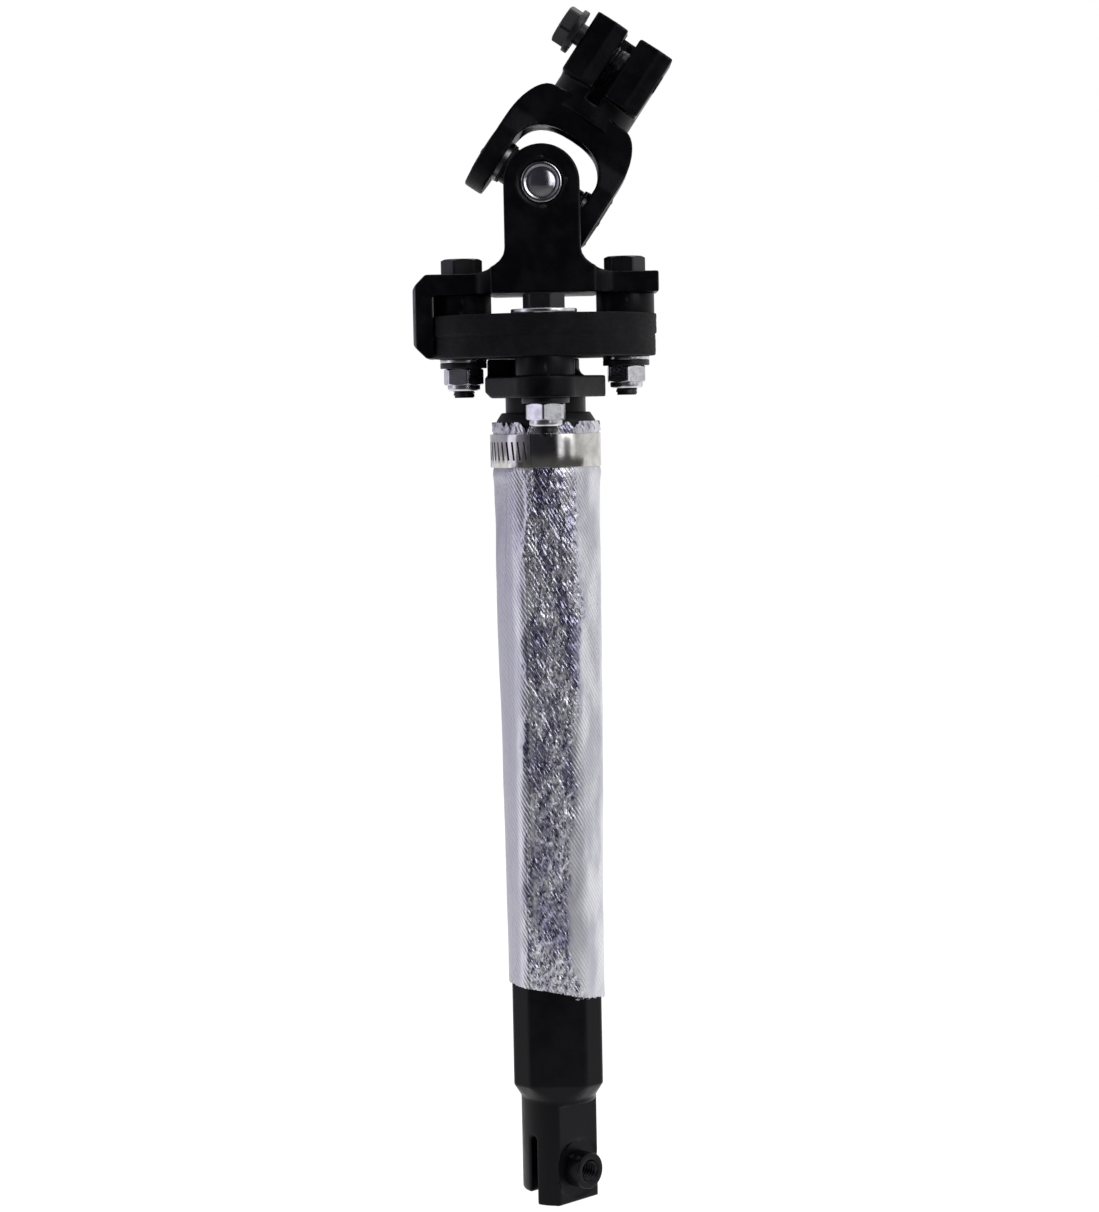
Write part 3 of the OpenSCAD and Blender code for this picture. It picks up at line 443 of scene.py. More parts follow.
# joins equal rings of points; closed goes back to the first ring, else both ends are capped
def ringed(rings, closed):
    count = len(rings[0])
    points = [point for ring in rings for point in ring]
    faces = []
    last = len(rings) if closed else len(rings) - 1
    for j in range(last):
        a, b = j * count, (j + 1) % len(rings) * count
        faces += [(a + i, a + (i + 1) % count, b + (i + 1) % count, b + i) for i in range(count)]
    if not closed:
        for base, ring in ((0, rings[0]), ((len(rings) - 1) * count, rings[-1])):
            points.append(sum((Vector(point) for point in ring), Vector()) / count)
            hub = len(points) - 1
            faces += [(hub, base + i, base + (i + 1) % count) for i in range(count)]
    return points, faces


# rounds the corners of a closed outline; each corner may give its own radius as a third number
def eased(outline, radius, steps=3):
    result = []
    count = len(outline)
    for i, corner in enumerate(outline):
        here = Vector(corner[:2])
        back = Vector(outline[i - 1][:2]) - here
        on = Vector(outline[(i + 1) % count][:2]) - here
        reach = corner[2] if len(corner) > 2 else radius
        reach = min(reach, back.length * 0.45, on.length * 0.45)
        if reach <= 0:
            result.append(here)
            continue
        start, end = here + back.normalized() * reach, here + on.normalized() * reach
        for step in range(steps + 1):
            t = step / steps
            result.append(start * (1 - t) ** 2 + here * 2 * t * (1 - t) + end * t ** 2)
    return result


# a turned piece: the outline is (radius, height), closed around a bore or ending on the axis
def turned(name, outline, place, ease=0.25, count=72, solid=False, angle=32):
    if solid:
        outline = [(*point[:2], 0) if point[0] == 0 else point for point in outline]
    profile = eased(outline, ease)
    angles = [2 * math.pi * i / count for i in range(count)]
    if solid:
        profile = [point for point in profile if point.x > 1e-6]
    rings = [[(r * math.cos(a), r * math.sin(a), z) for a in angles] for r, z in profile]
    points, faces = ringed(rings, not solid)
    return newPiece(name, meshFrom(name, points, faces, place, angle))


# distance from the axis to a hexagon's side in this direction
def hexReach(angle, flats):
    turn = angle % (math.pi / 3) - math.pi / 6
    return min(flats / 2 / math.cos(turn), flats / math.sqrt(3) * 0.985)


# a hexagon whose ends are turned off by cones, as on real heads and nuts, with or without a bore
def hexRings(flats, height, top=True, bottom=False, bore=0.0, dish=0.0, count=96):
    angles = [2 * math.pi * (i + 0.5) / count for i in range(count)]
    faceR = flats / 2 * 0.955

    def ring(radius, z):
        return [(radius * math.cos(a), radius * math.sin(a), z) for a in angles]

    def edge(z, sign, cut):
        points = []
        for a in angles:
            reach = hexReach(a, flats)
            drop = (reach - faceR) * math.tan(math.radians(27)) if cut else 0.12
            points.append((reach * math.cos(a), reach * math.sin(a), z - sign * drop))
        return points

    rings = [ring(bore or 0.4, 0)]
    rings += [ring(faceR, 0), edge(0, -1, bottom), edge(height, 1, top), ring(faceR, height)]
    if dish:
        rings.append(ring(faceR * 0.8, height))
        rings.append(ring(faceR * 0.72, height - dish))
    rings.append(ring(bore or 0.4, height - dish))
    return ringed(rings, bool(bore))


# a softly rounded copy of a CAD node: welded, made even cells, smoothed and thinned again
def softened(name, node, cell, passes, most=170000, angle=180):
    mesh = nodes[node].data.copy()
    mesh.materials.clear()
    work = bmesh.new()
    work.from_mesh(mesh)
    bmesh.ops.remove_doubles(work, verts=work.verts, dist=2e-6)
    work.to_mesh(mesh)
    work.free()
    piece = newPiece(name, mesh)
    remesh = piece.modifiers.new("cells", "REMESH")
    remesh.mode = "VOXEL"
    remesh.voxel_size = cell * mm
    smooth = piece.modifiers.new("smooth", "SMOOTH")
    smooth.factor = 0.5
    smooth.iterations = passes
    bake(piece)
    triangles = len(piece.data.polygons) * 2
    if triangles > most:
        thin = piece.modifiers.new("thin", "DECIMATE")
        thin.ratio = most / triangles
        bake(piece)
    shadeBy(piece.data, angle)
    return piece


# applies a piece's modifiers
def bake(piece):
    depsgraph = bpy.context.evaluated_depsgraph_get()
    mesh = bpy.data.meshes.new_from_object(piece.evaluated_get(depsgraph))
    piece.modifiers.clear()
    piece.data = mesh
    return piece


# joins pieces into the first
def joined(pieces, name=None):
    work = bmesh.new()
    for piece in pieces:
        work.from_mesh(piece.data)
    mesh = bpy.data.meshes.new(name or pieces[0].name)
    work.to_mesh(mesh)
    work.free()
    for piece in pieces[1:]:
        bpy.data.objects.remove(piece)
    pieces[0].data = mesh
    if name:
        pieces[0].name = name
    shadeBy(mesh)
    return pieces[0]


def settle(piece, body, slot, finish, *replaced):
    piece.data.materials.clear()
    piece.data.materials.append(finishes[finish])
    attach(piece, body)
    if replaced:
        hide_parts(*replaced)
    return piece


def dress(node, finish):
    data = nodes[node].data
    data.materials.clear()
    data.materials.append(finishes[finish])


# Geometry Nodes

# a tree with named inputs; it takes the piece's own mesh in and gives the finished one out
class Recipe(Tree):
    def __init__(self, name, inputs):
        super().__init__(bpy.data.node_groups.new(name, "GeometryNodeTree"))
        face = self.tree.interface
        face.new_socket("Geometry", in_out="INPUT", socket_type="NodeSocketGeometry")
        face.new_socket("Geometry", in_out="OUTPUT", socket_type="NodeSocketGeometry")
        for label, start in inputs.items():
            kind = "NodeSocketInt" if isinstance(start, int) else "NodeSocketFloat"
            face.new_socket(label, in_out="INPUT", socket_type=kind).default_value = start
        face.new_socket("Material", in_out="INPUT", socket_type="NodeSocketMaterial")
        self.source = self.tree.nodes.new("NodeGroupInput")
        self.sink = self.tree.nodes.new("NodeGroupOutput")

    def given(self, label):
        return Term(self, self.source.outputs[label])

    def vector(self, x=0.0, y=0.0, z=0.0):
        return self.add("ShaderNodeCombineXYZ", None, {0: x, 1: y, 2: z})

    # the last nodes of every tree
    def close(self, geometry):
        plain = self.add("GeometryNodeRealizeInstances", None, {0: geometry})
        painted = self.add("GeometryNodeSetMaterial", None,
                           {"Geometry": plain, "Material": self.given("Material")})
        self.feed(self.sink.inputs[0], painted)
        return self


# runs a recipe on a mesh, or on nothing, and keeps the result as a plain mesh
def grown(name, recipe, values, finish, base=None, place=None, angle=32):
    piece = newPiece(name, base or bpy.data.meshes.new(name))
    step = piece.modifiers.new("grow", "NODES")
    step.node_group = recipe.tree
    for item in recipe.tree.interface.items_tree:
        if item.in_out == "INPUT" and item.name in values:
            step[item.identifier] = values[item.name]
        if item.in_out == "INPUT" and item.name == "Material":
            step[item.identifier] = finishes[finish]
    bake(piece)
    if place:
        scaledPlace = place.copy()
        scaledPlace.translation = place.translation * mm
        piece.data.transform(scaledPlace)
    shadeBy(piece.data, angle)
    return piece


# a threaded rod hanging down from z = 0: a core with a helix of V threads wound on it
def threadRecipe():
    recipe = Recipe("threadedRod", {"Radius": 0.004, "Length": 0.03, "Thread Length": 0.01, "Pitch": 0.00125,
                                    "Depth": 0.0006})
    radius, depth = recipe.given("Radius"), recipe.given("Depth")
    length, threaded = recipe.given("Length"), recipe.given("Thread Length")
    plain = length - threaded
    smooth = recipe.add("GeometryNodeMeshCylinder", {"fill_type": "NGON"},
                        {"Vertices": 64, "Radius": radius, "Depth": plain})
    smooth = recipe.add("GeometryNodeTransform", None,
                        {"Geometry": smooth, "Translation": recipe.vector(z=plain * -0.5)})
    core = recipe.add("GeometryNodeMeshCylinder", {"fill_type": "NGON"},
                      {"Vertices": 48, "Radius": radius - depth, "Depth": threaded})
    core = recipe.add("GeometryNodeTransform", None,
                      {"Geometry": core, "Translation": recipe.vector(z=threaded * -0.5 - plain)})
    turns = (threaded / recipe.given("Pitch")) - 1.2
    helix = recipe.add("GeometryNodeCurveSpiral", None,
                       {"Resolution": 40, "Rotations": turns, "Start Radius": radius - depth,
                        "End Radius": radius - depth, "Height": turns * recipe.given("Pitch")})
    tooth = recipe.add("GeometryNodeCurvePrimitiveCircle", {"mode": "RADIUS"},
                       {"Resolution": 3, "Radius": depth * 1.02})
    wound = recipe.add("GeometryNodeCurveToMesh", None,
                       {"Curve": helix, "Profile Curve": tooth, "Fill Caps": True})
    wound = recipe.add("GeometryNodeTransform", None,
                       {"Geometry": wound, "Translation": recipe.vector(z=length * -1 + recipe.given("Pitch") * 0.6)})
    both = recipe.add("GeometryNodeJoinGeometry", None,
                      {0: [recipe.given("Geometry"), smooth, core, wound]})
    return recipe.close(both)


# splines in a bore: prisms on an arc that leaves the bore's slot free
def splineRecipe():
    recipe = Recipe("boreSplines", {"Teeth": 36, "Bore Radius": 0.0089, "Length": 0.02, "Height": 0.0004,
                                    "Start": 0.0, "Sweep": 6.28})
    bore, height = recipe.given("Bore Radius"), recipe.given("Height")
    size = bore * 0.085
    arc = recipe.add("GeometryNodeCurveArc", {"mode": "RADIUS"},
                     {"Resolution": recipe.given("Teeth"), "Radius": bore - height + size,
                      "Start Angle": recipe.given("Start"), "Sweep Angle": recipe.given("Sweep")})
    tooth = recipe.add("GeometryNodeMeshCylinder", {"fill_type": "NGON"},
                       {"Vertices": 3, "Radius": size, "Depth": recipe.given("Length")})
    x, y, z = [Term(recipe, s) for s in recipe.add(
        "ShaderNodeSeparateXYZ", None, {0: recipe.add("GeometryNodeInputPosition")}).socket.node.outputs]
    turn = recipe.vector(z=y.math("ARCTAN2", x) + math.pi)
    placed = recipe.add("GeometryNodeInstanceOnPoints", None, {"Points": arc, "Instance": tooth, "Rotation": turn})
    lifted = recipe.add("GeometryNodeTransform", None,
                        {"Geometry": placed, "Translation": recipe.vector(z=recipe.given("Length") * 0.5)})
    return recipe.close(lifted)


# slanted thread slots cut through a curved band
def slotRecipe():
    recipe = Recipe("bandSlots", {"Slots": 20, "Radius": 0.0197, "Slot Width": 0.001, "Slot Length": 0.006,
                                  "Slant": 0.12, "Start": 0.0, "Sweep": 2.0, "Height": 0.27})
    arc = recipe.add("GeometryNodeCurveArc", {"mode": "RADIUS"},
                     {"Resolution": recipe.given("Slots"), "Radius": recipe.given("Radius"),
                      "Start Angle": recipe.given("Start"), "Sweep Angle": recipe.given("Sweep")})
    size = recipe.vector(0.004, recipe.given("Slot Width"), recipe.given("Slot Length"))
    cutter = recipe.add("GeometryNodeMeshCube", None, {"Size": size})
    cutter = recipe.add("GeometryNodeTransform", None,
                        {"Geometry": cutter, "Rotation": recipe.vector(x=recipe.given("Slant"))})
    x, y, z = [Term(recipe, s) for s in recipe.add(
        "ShaderNodeSeparateXYZ", None, {0: recipe.add("GeometryNodeInputPosition")}).socket.node.outputs]
    placed = recipe.add("GeometryNodeInstanceOnPoints", None,
                        {"Points": arc, "Instance": cutter, "Rotation": recipe.vector(z=y.math("ARCTAN2", x))})
    lifted = recipe.add("GeometryNodeTransform", None,
                        {"Geometry": placed, "Translation": recipe.vector(z=recipe.given("Height"))})
    cutters = recipe.add("GeometryNodeRealizeInstances", None, {0: lifted})
    cut = recipe.add("GeometryNodeMeshBoolean", {"operation": "DIFFERENCE"},
                     {"Mesh 1": recipe.given("Geometry"), "Mesh 2": cutters})
    return recipe.close(cut)


# small crescents pressed into an ear around a cup
def stakeRecipe():
    recipe = Recipe("stakeMarks", {"Marks": 4, "Radius": 0.0082, "Turn": 0.6, "Size": 0.0011})
    ring = recipe.add("GeometryNodeMeshCircle", {"fill_type": "NONE"},
                      {"Vertices": recipe.given("Marks"), "Radius": recipe.given("Radius")})
    ring = recipe.add("GeometryNodeTransform", None,
                      {"Geometry": ring, "Rotation": recipe.vector(z=recipe.given("Turn"))})
    size = recipe.given("Size")
    mark = recipe.add("GeometryNodeMeshIcoSphere", None, {"Radius": size, "Subdivisions": 2})
    mark = recipe.add("GeometryNodeTransform", None,
                      {"Geometry": mark, "Scale": (0.75, 1.5, 0.42)})
    x, y, z = [Term(recipe, s) for s in recipe.add(
        "ShaderNodeSeparateXYZ", None, {0: recipe.add("GeometryNodeInputPosition")}).socket.node.outputs]
    placed = recipe.add("GeometryNodeInstanceOnPoints", None,
                        {"Points": ring, "Instance": mark, "Rotation": recipe.vector(z=y.math("ARCTAN2", x))})
    return recipe.close(placed)


# loose glass fibres along an arc of the cloth's edge, each a thin open loop
def fibreRecipe():
    recipe = Recipe("looseFibres", {"Fibres": 30, "Radius": 0.018, "Height": 0.077, "Start": 0.0, "Sweep": 1.0,
                                    "Loop": 0.00095, "Thread": 0.00008, "Seed": 7})
    edge = recipe.add("GeometryNodeCurveArc", {"mode": "RADIUS"},
                      {"Resolution": recipe.given("Fibres"), "Radius": recipe.given("Radius"),
                       "Start Angle": recipe.given("Start"), "Sweep Angle": recipe.given("Sweep")})
    loop = recipe.add("GeometryNodeCurveArc", {"mode": "RADIUS"},
                      {"Resolution": 14, "Radius": recipe.given("Loop"), "Sweep Angle": 3.9})
    section = recipe.add("GeometryNodeCurvePrimitiveCircle", {"mode": "RADIUS"},
                         {"Resolution": 5, "Radius": recipe.given("Thread")})
    fibre = recipe.add("GeometryNodeCurveToMesh", None, {"Curve": loop, "Profile Curve": section, "Fill Caps": True})
    turn = recipe.add("FunctionNodeRandomValue", {"data_type": "FLOAT_VECTOR"},
                      {0: (-1.4, -1.4, -3.1), 1: (1.4, 1.4, 3.1), "Seed": recipe.given("Seed")})
    size = recipe.add("FunctionNodeRandomValue", {"data_type": "FLOAT"},
                      {2: 0.45, 3: 1.3, "Seed": recipe.given("Seed")}, output=1)
    placed = recipe.add("GeometryNodeInstanceOnPoints", None,
                        {"Points": edge, "Instance": fibre, "Rotation": turn, "Scale": size})
    lifted = recipe.add("GeometryNodeTransform", None,
                        {"Geometry": placed, "Translation": recipe.vector(z=recipe.given("Height"))})
    return recipe.close(lifted)


threads, splines, slots, stakes = threadRecipe(), splineRecipe(), slotRecipe(), stakeRecipe()
fibres = fibreRecipe()
print("recipes made")


# Screws, nuts and washers

screws = {"flats": 13.0, "radius": 4.0, "pitch": 1.25, "threadDepth": 0.62,
          "coupling": {"bolt_left": 8, "bolt_right": 52, "bolt_front": 48, "bolt_rear": 25},
          "couplingHead": 5.6, "couplingThread": 14,
          "pinchHead": 4.7, "pinchTurn": 14, "pinchThread": 22}


# one screw, its head standing on z = 0 and its rod hanging below
def screwMade(name, flats, head, rod, threadLength, place, finish, radius=None):
    points, faces = hexRings(flats, head, top=True, dish=0.35)
    base = meshFrom(name, points, faces)
    values = {"Radius": (radius or screws["radius"]) * mm, "Length": rod * mm, "Thread Length": threadLength * mm,
              "Pitch": screws["pitch"] * mm, "Depth": screws["threadDepth"] * mm}
    return grown(name, threads, values, finish, base, place)


for node, turn in screws["coupling"].items():
    centre, foot, top = middle(node), low(node).z, high(node).z
    seat = top - screws["couplingHead"]
    place = Matrix.Translation((centre.x, centre.y, seat)) @ Matrix.Rotation(math.radians(turn), 4, "Z")
    bolt = screwMade(node + "_threaded", screws["flats"], screws["couplingHead"], seat - foot,
                     screws["couplingThread"], place, "dark_hardware")
    settle(bolt, "coupling", "dark_hardware", "dark_hardware", node)

washerEase = 0.3
for node in nodes:
    if "washer" in node and node != "clamp_washer":
        centre, foot, top = middle(node), low(node).z, high(node).z
        outer, inner, thick = high(node).x - centre.x, screws["radius"] + 0.2, top - foot
        outline = [(inner, 0, 0.1), (outer, 0), (outer, thick), (inner, thick)]
        made = turned(node + "_turned", outline, Matrix.Translation((centre.x, centre.y, foot)), washerEase)
        kind = "dark_hardware" if node.startswith("dark") else "plated_hardware"
        settle(made, "coupling", kind, kind, node)

nuts = {"hexPart": 6.0, "collarR": 5.8, "ringR": 4.9, "lip": 0.55, "tipGap": 0.2,
        "turns": {"nut_left": 43, "nut_right": 32, "nut_front": 24, "nut_rear": 21}}


# a lock nut: hexagon above, rolled collar below that grips the nylon ring
def lockNut(node, turn):
    size, centre = nuts, middle(node)
    top, foot = high(node).z, low(node).z
    bore, collar, ringR = screws["radius"], size["collarR"], size["ringR"]
    height = top - foot
    flip = Matrix.Rotation(math.radians(turn), 4, "Z") @ Matrix.Rotation(math.pi, 4, "X")
    place = Matrix.Translation((centre.x, centre.y, top)) @ flip
    points, faces = hexRings(screws["flats"], size["hexPart"], top=True, bottom=True, bore=bore)
    body = newPiece(node + "_made", meshFrom(node, points, faces, place))
    hexTop = size["hexPart"]
    outline = [(ringR, hexTop - 1.6), (collar, hexTop - 1.6), (collar, height - size["lip"], 0.5),
               (collar - 0.7, height, 0.35), (ringR - 0.1, height - size["tipGap"], 0.2),
               (ringR - 0.1, height - 0.55, 0.1), (ringR, height - 0.7, 0.1)]
    rolled = turned(node + "_collar", outline, place, 0.15)
    settle(joined([body, rolled]), "coupling", "plated_hardware", "plated_hardware", node)


for node, turn in nuts["turns"].items():
    lockNut(node, turn)
    ring = node.replace("nut", "nylon")
    centre, foot, top = middle(ring), low(ring).z, high(ring).z
    outline = [(screws["radius"], 0, 0.3), (nuts["ringR"], 0, 0.2), (nuts["ringR"], top - foot), (screws["radius"], top - foot)]
    made = turned(ring + "_ring", outline, Matrix.Translation((centre.x, centre.y, foot)), 0.2)
    settle(made, "coupling", "nylon", "nylon", ring)

for node in nodes:
    if node.startswith("spacer"):
        centre, foot, top = middle(node), low(node).z, high(node).z
        outer = high(node).x - centre.x
        outline = [(screws["radius"] + 0.2, 0), (outer, 0, 0.5), (outer, top - foot, 0.5), (screws["radius"] + 0.2, top - foot)]
        made = turned(node + "_turned", outline, Matrix.Translation((centre.x, centre.y, foot)), 0.3)
        settle(made, "coupling", "dark_hardware", "black_steel", node)

# the loose pinch bolt of the fork and its washer, in the fork's frame
pinch = {"reach": 15.4, "loose": 2.2, "washerT": 2.1, "washerR": 8.2, "v": 13.6, "w": 50.6, "rod": 35.5}
washerX = -pinch["reach"] - pinch["loose"]
turnLeft = Matrix.Rotation(-math.pi / 2, 4, "Y")
place = forkPlace @ Matrix.Translation((washerX - pinch["washerT"], -pinch["v"], pinch["w"])) @ turnLeft
place = place @ Matrix.Rotation(math.radians(screws["pinchTurn"]), 4, "Z")
pinchBolt = screwMade("clamp_bolt_threaded", screws["flats"], screws["pinchHead"], pinch["rod"],
                      screws["pinchThread"], place, "dark_hardware")
settle(pinchBolt, "fork", "dark_hardware", "dark_hardware", "clamp_bolt")
outline = [(screws["radius"], 0, 0.1), (pinch["washerR"], 0), (pinch["washerR"], pinch["washerT"]),
           (screws["radius"], pinch["washerT"])]
pinchWasher = turned("clamp_washer_turned", outline,
                     forkPlace @ Matrix.Translation((washerX, -pinch["v"], pinch["w"])) @ turnLeft, washerEase)
settle(pinchWasher, "fork", "dark_hardware", "dark_hardware", "clamp_washer")
print("screws, nuts and washers made")


# Forgings

forgings = {
    "outer_tube": {"cell": 0.5, "passes": 5, "body": "lower_tube", "finish": "black_steel", "slot": "black_steel"},
    "lower_flange": {"cell": 0.42, "passes": 7, "body": "coupling", "finish": "forged", "slot": "black_steel"},
    "strap_yoke": {"cell": 0.45, "passes": 9, "body": "coupling", "finish": "forged", "slot": "black_steel"},
    "upper_fork": {"cell": 0.42, "passes": 8, "body": "fork", "finish": "forged", "slot": "black_steel"},
    "clamp_housing": {"cell": 0.22, "passes": 4, "body": "lower_tube", "finish": "clamp_steel", "slot": "clamp_steel"},
}
for node, how in forgings.items():
    made = softened(node + "_forged", node, how["cell"], how["passes"])
    settle(made, how["body"], how["slot"], how["finish"], node)
    print(node, "softened:", len(made.data.polygons), "faces")

disc = {"cell": 0.48, "passes": 4, "fray": 0.22, "seamDepth": 0.35, "seamHalf": 0.45}
discFoot, discTop = low("coupling_disc").z, high("coupling_disc").z
discR = high("coupling_disc").x
made = softened("coupling_disc_moulded", "coupling_disc", disc["cell"], disc["passes"])
seamZ = (discFoot + discTop) / 2
for vertex in made.data.vertices:
    x, y, z = vertex.co / mm
    radius = math.hypot(x, y)
    if radius > discR - 1.6:
        turn = math.atan2(y, x) * discR
        rag = noise.fractal(Vector((turn * 0.16, z * 1.1, 3.0)), 0.7, 2.1, 4)
        seam = math.exp(-((z - seamZ) / disc["seamHalf"]) ** 2)
        inwards = disc["seamDepth"] * seam * (0.7 + 0.5 * rag) - disc["fray"] * min(rag, 0.35)
        vertex.co.x -= x / radius * max(inwards, -0.05) * mm
        vertex.co.y -= y / radius * max(inwards, -0.05) * mm
settle(made, "coupling", "disc_rubber", "disc_rubber", "coupling_disc")
print("forgings and disc made")


# Joint: cups, seals and stake marks

cupSize = {"r": 7.5, "reach": 23.0, "length": 7.9, "wall": 1.0, "rim": 5.9}
toFront = Matrix.Rotation(math.pi / 2, 4, "X")
toRear = Matrix.Rotation(-math.pi / 2, 4, "X")
toLeft = Matrix.Rotation(-math.pi / 2, 4, "Y")
toRight = Matrix.Rotation(math.pi / 2, 4, "Y")
jointPlace = Matrix.Translation((0, 0, jointZ))
cupPlaces = {"front": (jointPlace @ toFront, "coupling"), "rear": (jointPlace @ toRear, "coupling"),
             "left": (forkPlace @ toLeft, "fork"), "right": (forkPlace @ toRight, "fork")}
for side, (place, body) in cupPlaces.items():
    size = cupSize
    top, mouth = size["reach"], size["reach"] - size["length"]
    # the fork's cups take bearing steel darkened by painted shade
    finish = "bearing_steel" if body == "coupling" else "fork_bearing_painted_shade"
    domed = [(0.3 + 4.8 * t / 6, top + 0.3 - 1.0 * (t / 6) ** 2, 0) for t in range(7)]
    outline = domed + [(size["rim"] - 0.4, top - 0.65, 0.1), (size["rim"], top, 0.25),
               (size["r"] - 0.7, top, 0.25), (size["r"], top - 0.6, 0.3), (size["r"], mouth),
               (size["r"] - size["wall"], mouth), (size["r"] - size["wall"], top - size["wall"] - 0.4),
               (0.3, top - size["wall"] - 0.4, 0)]
    cup = turned("cup_" + side + "_drawn", outline, place, 0.15, solid=True)
    settle(cup, body, "bearing_steel", finish, "cup_" + side)
    seal = [(4.9, mouth - 1), (size["r"] - 0.2, mouth - 1, 0.3), (size["r"] - 0.2, mouth), (4.9, mouth)]
    settle(turned("ring_" + side + "_lip", seal, place, 0.2), body, "rubber_seal", "rubber_seal", "ring_" + side)
    ear = top if body == "coupling" else top + 0.6
    marks = grown("stakes_" + side, stakes, {"Radius": 0.0086, "Turn": 0.62 + 0.2 * len(side), "Size": 0.0009},
                  "forged", place=place @ Matrix.Translation((0, 0, ear + 0.34)))
    settle(marks, body, "black_steel", "forged")
dress("strap_needles", "bearing_steel")
# the fork's needles take bearing steel darkened by painted shade
dress("fork_needles", "fork_bearing_painted_shade")
for node in ("cross", "inner_shaft"):
    dress(node, "machined")
dress("slide_bush", "nylon")
print("joint made")


# Bores: splines in both sockets, and the round pinch nut

bores = {"upperFoot": 31.5, "upperTop": 60.0, "upperR": 8.9, "upperTeeth": 38, "upperGap": 0.36,
         "lowerFoot": 4.6, "lowerTop": 33.4, "lowerR": 7.4, "lowerTeeth": 32, "lowerGap": 0.3, "height": 0.4}
size = bores
upper = grown("upper_splines", splines,
              {"Teeth": size["upperTeeth"], "Bore Radius": size["upperR"] * mm, "Height": size["height"] * mm,
               "Length": (size["upperTop"] - size["upperFoot"]) * mm,
               "Start": -math.pi / 2 + size["upperGap"], "Sweep": 2 * math.pi - 2 * size["upperGap"]},
              "black_steel", place=forkPlace @ Matrix.Translation((0, 0, size["upperFoot"])))
settle(upper, "fork", "black_steel", "black_steel")
lower = grown("lower_splines", splines,
              {"Teeth": size["lowerTeeth"], "Bore Radius": size["lowerR"] * mm, "Height": size["height"] * mm,
               "Length": (size["lowerTop"] - size["lowerFoot"]) * mm,
               "Start": -math.pi * 3 / 4 + size["lowerGap"], "Sweep": 2 * math.pi - 2 * size["lowerGap"]},
              "black_steel", place=Matrix.Translation((0, 0, size["lowerFoot"])))
settle(lower, "lower_tube", "black_steel", "black_steel")

pinchNut = {"z": 12.0, "seat": 8.8, "r": 6.55, "length": 6.6, "tap": 3.4}
size = pinchNut
nutPlace = Matrix.Translation((0, 0, size["z"])) @ Matrix.Rotation(-math.pi / 4, 4, "Z") @ toRight
nutPlace = nutPlace @ Matrix.Translation((0, 0, size["seat"]))
outline = [(size["tap"], 0), (size["r"], 0, 0.1), (size["r"], size["length"], 1.0), (5.0, size["length"], 0.3),
           (size["tap"] + 0.9, size["length"] - 0.1, 0.2), (size["tap"], size["length"] - 1.0, 0.1)]
nutBody = turned("pinch_nut_turned", outline, nutPlace, 0.3)
helix = {"turns": 4.6, "stepsPerTurn": 40}
rings = []
for i in range(int(helix["turns"] * helix["stepsPerTurn"])):
    turn = 2 * math.pi * i / helix["stepsPerTurn"]
    z = 0.5 + screws["pitch"] * i / helix["stepsPerTurn"]
    rings.append([(r * math.cos(turn), r * math.sin(turn), z + dz)
                  for r, dz in ((size["tap"] + 0.15, -0.5), (size["tap"] - 0.42, 0), (size["tap"] + 0.15, 0.5))])
points, faces = ringed(rings, False)
nutThread = newPiece("nutThread", meshFrom("nutThread", points, faces, nutPlace))
settle(joined([nutBody, nutThread]), "lower_tube", "black_steel", "black_steel", "pinch_nut")
print("bores made")


# Dust seal, band clamp and its screw

seal = {"z": [250, 282, 285], "r": 17.755, "mouthR": 16.185, "lipR": 14.82, "mouthTop": 262}
size = seal
sealFoot, sealTop = low("dust_seal").z, high("dust_seal").z
coneFoot = sealTop - 3
sealR = high("dust_seal").x
outline = [(size["mouthR"], sealFoot), (sealR, sealFoot, 0.5), (sealR, coneFoot - 0.2, 0.8),
           (size["lipR"] + 1.1, sealTop - 0.3, 0.6), (size["lipR"] + 0.5, sealTop, 0.3), (size["lipR"], sealTop - 0.4, 0.3),
           (size["lipR"], size["mouthTop"], 0), (size["mouthR"], size["mouthTop"], 0)]
settle(turned("dust_seal_moulded", outline, Matrix(), 0.3, count=96), "lower_tube", "rubber_seal", "rubber_seal", "dust_seal")

band = {"innerR": 18.86, "t": 0.6, "ringEase": 0.22, "start": -166, "end": -16.5, "slots": 18, "pitch": 7.3,
        "slotWidth": 1.0, "slotLength": 6.6, "slant": 7.5, "firstSlot": -21.5}
bandFoot, bandTop = low("clamp_band").z, high("clamp_band").z
bandZ = (bandFoot + bandTop) / 2
size = band


# a band's turned length, from one azimuth to another; 0 is the front, positive goes to the right
def bandStrip(name, inner, outer, foot, top, start, end, ease=0.22):
    profile = eased([(inner, foot), (outer, foot), (outer, top), (inner, top)], ease, 2)
    count = max(int((end - start) / 2.5), 2)
    rings = []
    for i in range(count + 1):
        a = math.radians(start + (end - start) * i / count)
        rings.append([(r * math.sin(a), -r * math.cos(a), z) for r, z in profile])
    points, faces = ringed(rings, False)
    return meshFrom(name, points, faces)


